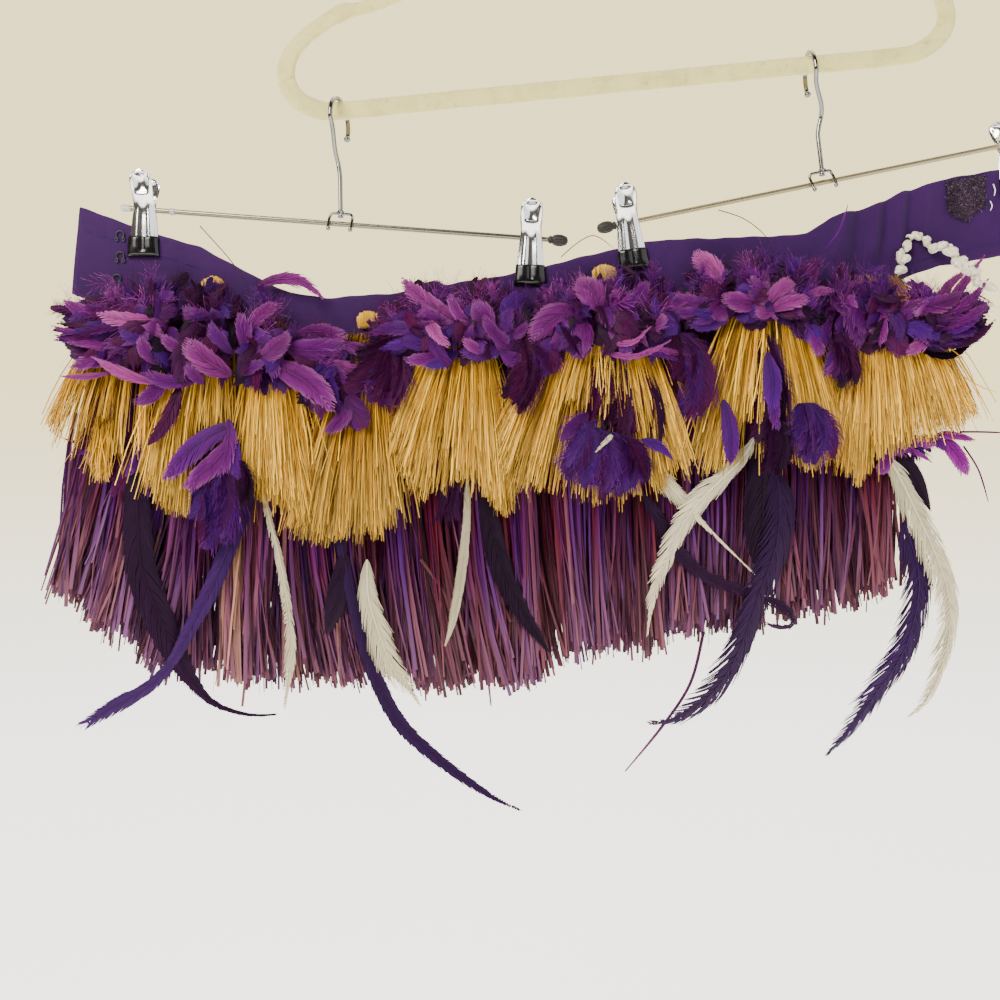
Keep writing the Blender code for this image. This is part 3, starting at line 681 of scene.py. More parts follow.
    def build(self, name: str, materials: Sequence[Material], slot: str,
              nodes: Sequence[str] = ()) -> Piece:
        """Makes the piece.

        Args:
            name: the piece's name.
            materials: its materials, by finish number.
            slot: the record's material slot.
            nodes: the CAD nodes that it stands for.

        Returns:
            The object, riding on the one body.
        """
        mesh = bpy.data.meshes.new(name)
        points = np.concatenate(self.points) * MM
        quads = np.concatenate(self.quads)
        caps = np.concatenate(self.caps) if self.caps else np.zeros((0, 3), int)
        mesh.vertices.add(len(points))
        mesh.vertices.foreach_set("co", points.ravel())
        corners = np.concatenate([quads.ravel(), caps.ravel()])
        mesh.loops.add(len(corners))
        mesh.loops.foreach_set("vertex_index", corners)
        starts = np.concatenate([np.arange(len(quads)) * 4, len(quads) * 4 + np.arange(len(caps)) * 3])
        mesh.polygons.add(len(starts))
        mesh.polygons.foreach_set("loop_start", starts)
        mesh.polygons.foreach_set("use_smooth", np.ones(len(starts), bool))
        mesh.polygons.foreach_set("material_index", np.concatenate(self.quad_finish + self.cap_finish))
        marks = np.concatenate(self.marks)
        if not self.skinned:
            self._map(mesh, marks, corners)
        for column, label in enumerate(("along", "across", "tint", "shade")):
            layer = mesh.attributes.new(label, "FLOAT", "POINT")
            layer.data.foreach_set("value", marks[:, column].astype(np.float32))
        mesh.update(calc_edges=True)
        mesh.validate()
        if self.skinned:
            work = bmesh.new()
            work.from_mesh(mesh)
            bmesh.ops.remove_doubles(work, verts=work.verts, dist=1e-7)
            bmesh.ops.recalc_face_normals(work, faces=work.faces)
            work.to_mesh(mesh)
            work.free()
        for material in materials:
            mesh.materials.append(material)
        piece = bpy.data.objects.new(name, mesh)
        bpy.context.scene.collection.objects.link(piece)
        return settle(piece, slot, nodes)

    def _map(self, mesh: bpy.types.Mesh, marks: Array, corners: Array) -> None:
        """Lays each strip in its own cell of one map.

        Args:
            mesh: the piece's mesh.
            marks: the marks of each point.
            corners: the point of each face corner.
        """
        cells = np.concatenate(self.cells)
        side = math.ceil(math.sqrt(self.cell_count))
        u = (cells % side + 0.12 + 0.76 * marks[:, 1]) / side
        v = (cells // side + 0.06 + 0.88 * marks[:, 0]) / side
        layer = mesh.uv_layers.new(name="OFBake")
        layer.data.foreach_set("uv", np.stack([u[corners], v[corners]], axis=1).ravel())


def settle(piece: Piece, slot: str, nodes: Sequence[str]) -> Piece:
    """Puts a piece on the body and hides the CAD nodes that it stands for.

    Args:
        piece: the object.
        slot: the record's material slot; not used.
        nodes: the CAD nodes.

    Returns:
        The same object.
    """
    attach(piece, "root")
    if nodes:
        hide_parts(*nodes)
    log.info("%s: %d faces", piece.name, len(piece.data.polygons) if piece.type == "MESH" else 0)
    return piece


# ------------------------------------------------------------------ layers of the skirt


class Station(NamedTuple):
    """An upper and a lower point of a hanging layer."""

    top_x: float
    top_z: float
    low_x: float
    low_z: float


class ClipPlace(NamedTuple):
    """A clip's name, its top and its foot."""

    name: str
    top_x: float
    top_z: float
    low_x: float
    low_z: float


CLIP_PLACES = (
    ClipPlace("clip_1", -296.1, -285.4, -296.5, -341.2),
    ClipPlace("clip_2", -37.1, -304.4, -38.3, -360.2),
    ClipPlace("clip_3", 23.9, -294.2, 31.6, -349.4),
    ClipPlace("clip_4", 279.6, -246.4, 286.9, -301.8),
)

BAND_EDGE = np.array((
    (-339.7, -307.5), (-306.2, -319.6), (-282.7, -327.0), (-259.3, -334.3), (-239.2, -345.1),
    (-219.1, -355.8), (-199.0, -364.5), (-175.5, -368.5), (-125.3, -364.5), (-78.4, -357.1),
    (-31.5, -348.4), (8.7, -337.7), (42.2, -330.3), (75.7, -328.3), (109.2, -327.6),
    (136.0, -327.0), (147.4, -325.2), (162.8, -314.2), (189.6, -307.5), (213.1, -296.8), (235.8, -289.4),
    (276.7, -282.4), (330.3, -274.7),
))


class Layers:
    """Where each layer of the skirt lies, as depth by x and z."""

    BAND_WALL, BAND_HEIGHT = 2.4, 58.0
    FRINGE_TOP, FRINGE_HEM = 46.0, 280.0
    BLUR = 32.0
    WAVE_LENGTH = 210.0
    FOLDS_FROM, FOLDS_TO, FOLD_PITCH = 158.0, 234.0, 19.0
    FAN_TOP, FAN_DROP = 8.0, 165.0

    @classmethod
    def band_top(cls, x: Array) -> Array:
        """Height of the waistband's upper edge."""
        return np.interp(x, BAND_EDGE[:, 0], BAND_EDGE[:, 1])

    @classmethod
    def drop(cls, x: Array, z: Array) -> Array:
        """How far a point lies below the smoothed upper edge."""
        return sum(cls.band_top(x + cls.BLUR * share) for share in (-1.0, -0.5, 0.0, 0.5, 1.0)) / 5.0 - z

    @classmethod
    def wave(cls, x: Array) -> Array:
        """Slow wave of the skirt, flat where the clips hold it."""
        near = np.min([np.abs(x - clip.low_x) for clip in CLIP_PLACES], axis=0)
        return 1.3 * np.sin(TURN * x / cls.WAVE_LENGTH) * ease((near - 18.0) / 60.0)

    @classmethod
    def fold(cls, x: Array, drop: Array) -> Array:
        """Short upright folds near the right end of the band.

        Args:
            x: across the skirt.
            drop: distance below the band's upper edge.

        Returns:
            Depth at each point.
        """
        window = ease((x - cls.FOLDS_FROM) / 16.0) * ease((cls.FOLDS_TO - x) / 16.0)
        phase = TURN * (x - cls.FOLDS_FROM) / cls.FOLD_PITCH + 0.03 * drop
        depth = 3.1 * np.sin(phase + 0.6 * np.sin(x / 11.0)) * window
        return depth * (1.0 - 0.8 * ease((drop - 22.0) / 26.0))

    @classmethod
    def band(cls, x: Array, z: Array) -> Array:
        """Middle of the waistband's wall."""
        return cls.wave(x) + cls.fold(x, cls.band_top(x) - z)

    @classmethod
    def seat(cls, x: Array) -> Array:
        """Face that sewn-on pieces are set on."""
        return cls.wave(x) - 0.5 * cls.BAND_WALL - 0.4

    @classmethod
    def thick(cls, drop: Array) -> Array:
        """Thickness of the raffia by drop."""
        share = held((drop - cls.FRINGE_TOP) / (cls.FRINGE_HEM - cls.FRINGE_TOP))
        return 2.5 + 23.5 * (1.0 - (1.0 - share) ** 2)

    @classmethod
    def fringe_front(cls, x: Array, z: Array) -> Array:
        """Front of the raffia."""
        return cls.seat(x) - cls.thick(cls.drop(x, z))

    @classmethod
    def fringe_back(cls, x: Array, z: Array) -> Array:
        """Back of the raffia."""
        return cls.seat(x) + 7.0 * ease((cls.drop(x, z) - 80.0) / 180.0)

    @classmethod
    def fan_back(cls, x: Array, z: Array) -> Array:
        """Back of the tan tassels.

        Args:
            x: across the skirt.
            z: up.

        Returns:
            Depth at each point.
        """
        drop = cls.drop(x, z)
        climb = held((drop - cls.FAN_TOP) / (cls.FRINGE_TOP - cls.FAN_TOP))
        room = 0.5 * climb + 3.2 * ease((drop - 70.0) / 60.0)
        return cls.seat(x) - cls.thick(np.maximum(drop, cls.FRINGE_TOP)) * climb - room

    @classmethod
    def fan_front(cls, x: Array, z: Array) -> Array:
        """Front of the tan tassels."""
        share = held((cls.drop(x, z) - cls.FAN_TOP) / cls.FAN_DROP)
        return cls.fan_back(x, z) - 6.0 - 7.0 * np.sin(math.pi * share)


def ribbon_sides(middle: Array, width: Array, turn: Array) -> Array:
    """Half-width vectors of ribbons.

    Args:
        middle: strips by rows by 3.
        width: full width by strip and row.
        turn: how far the face is turned from the front about the upright, by strip and row.

    Returns:
        The vectors, in the shape of middle.
    """
    way = unit(np.gradient(middle, axis=1))
    face = spots(np.sin(turn), -np.cos(turn), np.zeros_like(turn))
    return unit(np.cross(way, face)) * 0.5 * width[..., None]


# ------------------------------------------------------------------ feathers


@dataclass(frozen=True)
class Vane:
    """How the barbs of one kind of feather grow."""

    barbs: int
    outline: tuple[Pair, ...]
    slant: float = 38.0
    start: float = 0.12
    clumps: float = 0.14
    split: float = 0.02
    ragged: float = 0.08
    camber: float = 0.34
    cover: float = 2.5
    hair: float = 0.0
    fluff: float = 0.05
    quill: float = 0.7
    rows: int = 4
    web: float = 0.7
    web_shade: float = 0.8
    quill_shade: float = 1.15
    blunt: float = 0.3


ROUND_OUTLINE = ((0.0, 0.1), (0.12, 0.5), (0.35, 0.92), (0.6, 1.0), (0.82, 0.86), (0.94, 0.55), (1.0, 0.12))
SPIKE_OUTLINE = ((0.0, 0.2), (0.25, 0.75), (0.5, 1.0), (0.74, 0.78), (0.9, 0.42), (1.0, 0.04))
POINTED_OUTLINE = ((0.0, 0.1), (0.15, 0.6), (0.4, 1.0), (0.6, 0.85), (0.8, 0.5), (1.0, 0.04))
EVEN_OUTLINE = ((0.0, 0.15), (0.12, 0.9), (0.5, 1.0), (0.85, 0.95), (1.0, 0.5))
BRUSH_OUTLINE = ((0.0, 0.2), (0.2, 0.8), (0.6, 1.0), (1.0, 0.8))


class Kind(Enum):
    """Kinds of feather."""

    UNDER = Vane(15, ROUND_OUTLINE, slant=29.0, split=0.03, clumps=0.2, ragged=0.2, rows=3, web=0.85)
    LEAF = Vane(30, ROUND_OUTLINE, slant=20.0, split=0.034, clumps=0.2, ragged=0.2, rows=3, web=0.8,
                web_shade=0.86, blunt=0.55)
    BROAD = Vane(44, ROUND_OUTLINE, slant=25.0, clumps=0.1, ragged=0.1, web=0.9, web_shade=0.92, blunt=0.6)
    BLADE = Vane(24, POINTED_OUTLINE, slant=15.0, ragged=0.34, split=0.045, clumps=0.2, rows=3)
    SPIKE = Vane(22, SPIKE_OUTLINE, slant=10.0, ragged=0.14, camber=0.5, rows=3, web=0.84, web_shade=0.9)
    MARABOU = Vane(26, BRUSH_OUTLINE, slant=44.0, start=0.0, clumps=0.5, split=0.06, ragged=0.5, camber=0.0,
                   hair=0.36, fluff=0.45, quill=0.3, rows=3, web=0.42, web_shade=0.5)
    DOWN = Vane(36, BRUSH_OUTLINE, slant=36.0, start=0.0, clumps=0.3, split=0.06, ragged=0.5, camber=0.1,
                hair=0.34, fluff=0.4, quill=0.3, web=0.5, web_shade=0.55)
    WISP = Vane(15, BRUSH_OUTLINE, slant=40.0, start=0.0, clumps=0.3, split=0.08, ragged=0.6, camber=0.0,
                hair=0.26, fluff=0.5, quill=0.25, rows=5, web=0.0)
    TAIL = Vane(150, EVEN_OUTLINE, slant=20.0, start=0.04, clumps=0.06, split=0.006, ragged=0.14, cover=2.4,
                quill=1.3, web=0.88, web_shade=0.9, quill_shade=0.85)
    SPLAYED = Vane(130, EVEN_OUTLINE, slant=22.0, start=0.05, clumps=0.11, split=0.018, ragged=0.3, cover=2.2,
                   fluff=0.1, quill=1.0, rows=5, web=0.4, web_shade=0.75)


class Plumage:
    """Grows feathers into a batch."""

    KNOTS = 25
    FINE = 60

    def __init__(self, batch: MeshBatch, rng: Dice) -> None:
        """Keeps the batch and the dice."""
        self.batch = batch
        self.rng = rng

    def grow(self, spine: Array, width: float | Array, kind: Kind, tint: float, shade: float = 1.0,
             tilt: float = 0.0, twist: float = 0.0) -> None:
        """Adds one feather.

        Args:
            spine: points of the quill from root to tip.
            width: full width of the vane, or one at each point of the spine.
            kind: how it grows.
            tint: colour mark.
            shade: brightness.
            tilt: turn of its face about the quill, in radians.
            twist: further turn towards the tip.
        """
        vane: Vane = kind.value
        knots = np.linspace(0.0, 1.0, self.KNOTS)
        widths = np.broadcast_to(np.asarray(width, float), (len(spine),))
        line = even(np.column_stack([spine, widths]), knots)
        widths, line = line[:, 3], line[:, :3]
        way = unit(np.gradient(line, axis=0))
        face = unit(FRONT - way * (way @ FRONT)[:, None])
        side = np.cross(way, face)
        turn = (tilt + twist * knots)[:, None]
        side, face = side * np.cos(turn) + face * np.sin(turn), face * np.cos(turn) - side * np.sin(turn)
        table = np.column_stack([line, side, face, widths])
        length = np.linalg.norm(np.diff(line, axis=0), axis=1).sum()
        if vane.web:
            self._web(table, knots, vane, tint, shade)
        self._barbs(table, knots, length, vane, tint, shade)
        quill = np.linspace(1.0, 0.25, self.KNOTS)[:, None] * 0.5 * vane.quill
        every = 2 if vane.barbs > self.FINE else 6
        self.batch.strips((line + face * 0.4)[None, ::every], (side * quill)[None, ::every], np.array([tint]),
                          np.array([shade * vane.quill_shade]))

    def _web(self, table: Array, knots: Array, vane: Vane, tint: float, shade: float) -> None:
        """Adds the closed web that the barbs stand on, dimmed by web_shade and a lower tint: painted shade in
        the gaps between the barbs.

        Args:
            table: place, side way, face way and width of the vane by knot.
            knots: shares of the quill.
            vane: how it grows.
            tint: colour mark.
            shade: brightness.
        """
        share = np.linspace(vane.start * 0.8, 0.96, 9 if vane.barbs < self.FINE else self.KNOTS)
        at = lookup(share, knots, table)
        breadth = np.interp(share, *np.array(vane.outline).T) * np.sqrt(1.0 - share**5) * 0.5 * at[:, 9]
        breadth = breadth[:, None] * vane.web
        fall = at[:, 6:9] * vane.camber * breadth * vane.web**2
        middle = at[:, :3] - at[:, 6:9] * 0.35 - fall
        self.batch.strips(middle[None], (at[:, 3:6] * breadth)[None], np.array([max(tint - 0.03, 0.0)]),
                          np.array([shade * vane.web_shade]), (fall + at[:, 6:9] * 0.1)[None])

    def _barbs(self, table: Array, knots: Array, length: float, vane: Vane, tint: float,
               shade: float) -> None:
        """Adds the barbs of both sides.

        Args:
            table: place, side way, face way and width of the vane by knot.
            knots: shares of the quill.
            length: length of the quill.
            vane: how they grow.
            tint: colour mark.
            shade: brightness.
        """
        rng, count = self.rng, vane.barbs
        rows = np.linspace(0.0, 1.0, vane.rows)
        for hand in (-1.0, 1.0):
            tips = np.linspace(vane.start, 1.0, count)
            group = np.cumsum(rng.random(count) < vane.clumps)
            shift = rng.normal(0.0, vane.split, count + 1)[group] + rng.normal(0.0, vane.split * 0.3, count)
            breadth = np.interp(tips, *np.array(vane.outline).T) * 0.5 * np.interp(tips, knots, table[:, 9])
            breadth = breadth * (1.0 - vane.ragged * rng.random(count)) * (1.0 + 2.0 * shift)
            back = breadth / math.tan(math.radians(vane.slant)) / length
            roots = np.clip(tips - back, 0.0, 0.985)
            tips = tips + shift
            share = roots[:, None] + (tips - roots)[:, None] * rows[None, :] ** 1.25
            at = lookup(share, knots, table)
            past = np.clip(share - 1.0, 0.0, None)[..., None] * length
            ahead = unit(table[-1, :3] - table[-2, :3])
            out = breadth[:, None] * rows[None, :] ** 0.85
            puff = rng.normal(0.0, vane.fluff, count)[:, None] * breadth[:, None] * rows[None, :] ** 1.5
            drift = rng.normal(0.0, vane.fluff * 0.6, count)[:, None] * breadth[:, None] * rows[None, :] ** 2
            fall = vane.camber * breadth[:, None] * rows[None, :] ** 2
            middle = at[..., :3] + past * ahead + at[..., 3:6] * (hand * (out + drift))[..., None]
            middle += at[..., 6:9] * (puff - fall)[..., None]
            if vane.hair:
                wide = np.full(len(rows), vane.hair) * np.linspace(1.0, 0.5, len(rows))
            else:
                spacing = length * (1.0 - vane.start) / count
                spacing = spacing * math.sin(math.radians(vane.slant)) * vane.cover
                wide = np.full(len(rows), spacing) * np.interp(rows, (0.0, 0.6, 1.0), (0.9, 0.95, vane.blunt))
            barb_way = unit(np.gradient(middle, axis=1))
            half = unit(np.cross(at[..., 6:9], barb_way)) * 0.5 * wide[None, :, None]
            tints = held(tint + rng.normal(0.0, 0.02, count))
            tone = rng.normal(0.0, 0.07, count + 1)[group] + rng.normal(0.0, 0.06, count)
            shades = shade * np.clip(1.0 + tone, 0.6, 1.5)
            # Painted shade: barbs darker towards the feather's base, which lies deep in the bunch.
            shades = shades * np.interp(tips, (0.0, 0.45, 1.0), (0.5, 0.9, 1.1))
            self.batch.strips(middle, half, tints, shades)


class Quill(NamedTuple):
    """A feather by the two ends of its quill, its width, colour mark and lift off the seat."""

    root_x: float
    root_z: float
    tip_x: float
    tip_z: float
    width: float
    tint: float
    lift: float = 0.8
    bow: float = 0.1
    kind: Kind = Kind.LEAF
    shade: float = 1.0


def quill_spine(quill: Quill, seat: Field, rise: Field) -> Array:
    """Points of a quill over a seat.

    Args:
        quill: the feather's ends.
        seat: depth of what it lies on.
        rise: how far the bunch stands off the seat.

    Returns:
        Seven points from root to tip.
    """
    share = np.linspace(0.0, 1.0, 7)
    run_x, run_z = quill.tip_x - quill.root_x, quill.tip_z - quill.root_z
    bend = np.sin(math.pi * share) * quill.bow
    x = quill.root_x + run_x * share - run_z * bend
    z = quill.root_z + run_z * share + run_x * bend
    climb = quill.lift * (0.45 + 0.55 * np.sin(math.pi * held(share * 0.62)))
    return spots(x, seat(x, z) - 0.8 - rise(x, z) * climb, z)


# ------------------------------------------------------------------ feather bunches


class Burst(NamedTuple):
    """A point that feathers spread from."""

    x: float
    z: float


class Coat(NamedTuple):
    """One coat of feathers.

    It has its share of the bunch's count and its kinds. Lifts, tones and shades go from the
    first feather to the last; lengths, widths and drops from the least to the most. Shades and
    tones that rise with the lift are painted shade: the low feathers lie deep in the bunch.
    """

    share: float
    kinds: tuple[Kind, ...]
    lifts: Pair
    lengths: Pair
    widths: Pair
    drops: Pair
    tones: Pair
    shades: Pair


LEAFY, FLUFFY = (Kind.LEAF, Kind.BLADE), (Kind.MARABOU,)
# Painted shade: the deep coats get low shades and dark tones, the outer coats brighter ones.
COATS = (
    Coat(0.8, (Kind.UNDER,), (0.05, 0.3), (26.0, 42.0), (14.0, 20.0), (0.08, 0.92), (-0.2, 0.1), (0.4, 0.7)),
    Coat(0.4, FLUFFY, (0.1, 0.5), (18.0, 30.0), (14.0, 22.0), (-0.06, 1.0), (-0.1, 0.2), (0.5, 0.85)),
    Coat(0.8, LEAFY, (0.3, 0.85), (32.0, 60.0), (9.0, 16.0), (0.2, 0.98), (-0.1, 0.45), (0.45, 0.8)),
    Coat(0.45, FLUFFY, (0.45, 0.9), (12.0, 24.0), (9.0, 15.0), (-0.06, 0.36), (0.2, 0.9), (0.7, 1.2)),
    Coat(0.36, LEAFY, (0.7, 1.0), (32.0, 60.0), (9.0, 16.0), (0.28, 1.0), (0.3, 0.9), (0.65, 0.92)),
    Coat(0.34, (Kind.WISP,), (0.7, 1.05), (16.0, 32.0), (12.0, 24.0), (-0.14, 0.4), (0.6, 1.2), (1.1, 1.6)),
)
DEEP_TINTS = (0.08, 0.14, 0.2, 0.3, 0.4, 0.5)
BRIGHT_TINTS = (0.3, 0.4, 0.5, 0.56, 0.6, 0.7, 0.76)


@dataclass
class FeatherBunch:
    """A domed bunch of short feathers over the heads of the tassels."""

    name: str
    node: str
    stations: tuple[Station, ...]
    bursts: tuple[Burst, ...]
    leaves: tuple[Quill, ...]
    fillers: int = 90
    fluffs: int = 60
    seed: int = 1
    dome: float = 19.0

    def _inside(self, x: Array, z: Array) -> tuple[Array, Array]:
        """Shares across and down the bunch of a point.

        Args:
            x: across the skirt.
            z: up.

        Returns:
            The two shares.
        """
        rows = np.array(self.stations)
        top = np.interp(x, rows[:, 0], rows[:, 1])
        low = np.interp(x, rows[:, 2], rows[:, 3])
        across = (x - rows[0, 0]) / (rows[-1, 0] - rows[0, 0])
        return held(across), held((top - z) / np.maximum(top - low, 1.0))

    def rise(self, x: Array, z: Array) -> Array:
        """How far the bunch stands off its seat."""
        across, down = self._inside(x, z)
        return 2.5 + self.dome * (np.sin(math.pi * across) * np.sin(math.pi * down)) ** 0.7

    @staticmethod
    def seat(x: Array, z: Array) -> Array:
        """Front of what the bunch lies on."""
        return Layers.fan_front(x, z) + 1.0

    def _filler(self, rng: Dice, layer: float, length: float, width: float, low: float,
                high: float) -> Quill:
        """A feather that points away from the nearest burst.

        Args:
            rng: the dice.
            layer: lift of the feather off the seat.
            length: greatest length.
            width: width of the vane.
            low: least share down the bunch of its tip.
            high: greatest share.

        Returns:
            The feather, with no colour mark yet.
        """
        rows = np.array(self.stations)
        across = rng.random() * (len(rows) - 1)
        index = min(int(across), len(rows) - 2)
        station = rows[index] + (rows[index + 1] - rows[index]) * (across - index)
        down = rng.uniform(low, high)
        tip = station[:2] + (station[2:] - station[:2]) * down
        burst = min(self.bursts, key=lambda b: math.hypot(b.x - tip[0], 0.6 * (b.z - tip[1])))
        gap = np.array((burst.x, burst.z)) + rng.normal(0.0, 7.0, 2) - tip
        root = tip + unit(gap) * min(length, max(np.hypot(*gap), 13.0))
        return Quill(root[0], root[1], tip[0], tip[1], width, 0.0, layer, rng.normal(0.0, 0.12))

    def _tint(self, rng: Dice, layer: float) -> float:
        """Colour mark from the feathers' own dark or bright tints, dark ones likelier in the deeper layers as
        painted shade.
        """
        choices = BRIGHT_TINTS if rng.random() < 0.1 + 0.65 * layer else DEEP_TINTS
        return float(rng.choice(choices) + rng.normal(0.0, 0.03))

    def _cover(self, plumage: Plumage, coat: Coat) -> None:
        """Adds one coat of feathers from low to high.

        Args:
            plumage: what grows the feathers.
            coat: the coat.
        """
        rng = plumage.rng
        count = int(coat.share * (self.fluffs if coat.kinds[0].value.hair else self.fillers))
        for number in range(count):
            layer = number / count
            lift, tone, shade = (first + (last - first) * layer
                                 for first, last in (coat.lifts, coat.tones, coat.shades))
            length, width = rng.uniform(*coat.lengths), rng.uniform(*coat.widths)
            quill = self._filler(rng, lift, length, width, *coat.drops)
            kind = coat.kinds[int(rng.integers(len(coat.kinds)))]
            plumage.grow(quill_spine(quill, self.seat, self.rise), quill.width, kind, self._tint(rng, tone),
                         shade * rng.uniform(0.8, 1.2), rng.normal(0.0, 0.4), rng.normal(0.0, 0.4))

    def build(self, finishes: Finishes) -> Piece:
        """Makes the bunch.

        Args:
            finishes: the materials.

        Returns:
            The piece.
        """
        batch = MeshBatch()
        plumage = Plumage(batch, np.random.default_rng(self.seed))
        for coat in COATS[:-1]:
            self._cover(plumage, coat)
        for quill in self.leaves:
            spine = quill_spine(quill, self.seat, self.rise)
            spine[:, 1] -= 3.0 * np.linspace(0.4, 1.0, len(spine))
            plumage.grow(spine, quill.width, quill.kind, quill.tint, 0.84 * quill.shade,
                         plumage.rng.normal(0.0, 0.15), plumage.rng.normal(0.0, 0.25))
        self._cover(plumage, COATS[-1])
        return batch.build(self.name, [finishes.violet], "feather_violet", (self.node,))


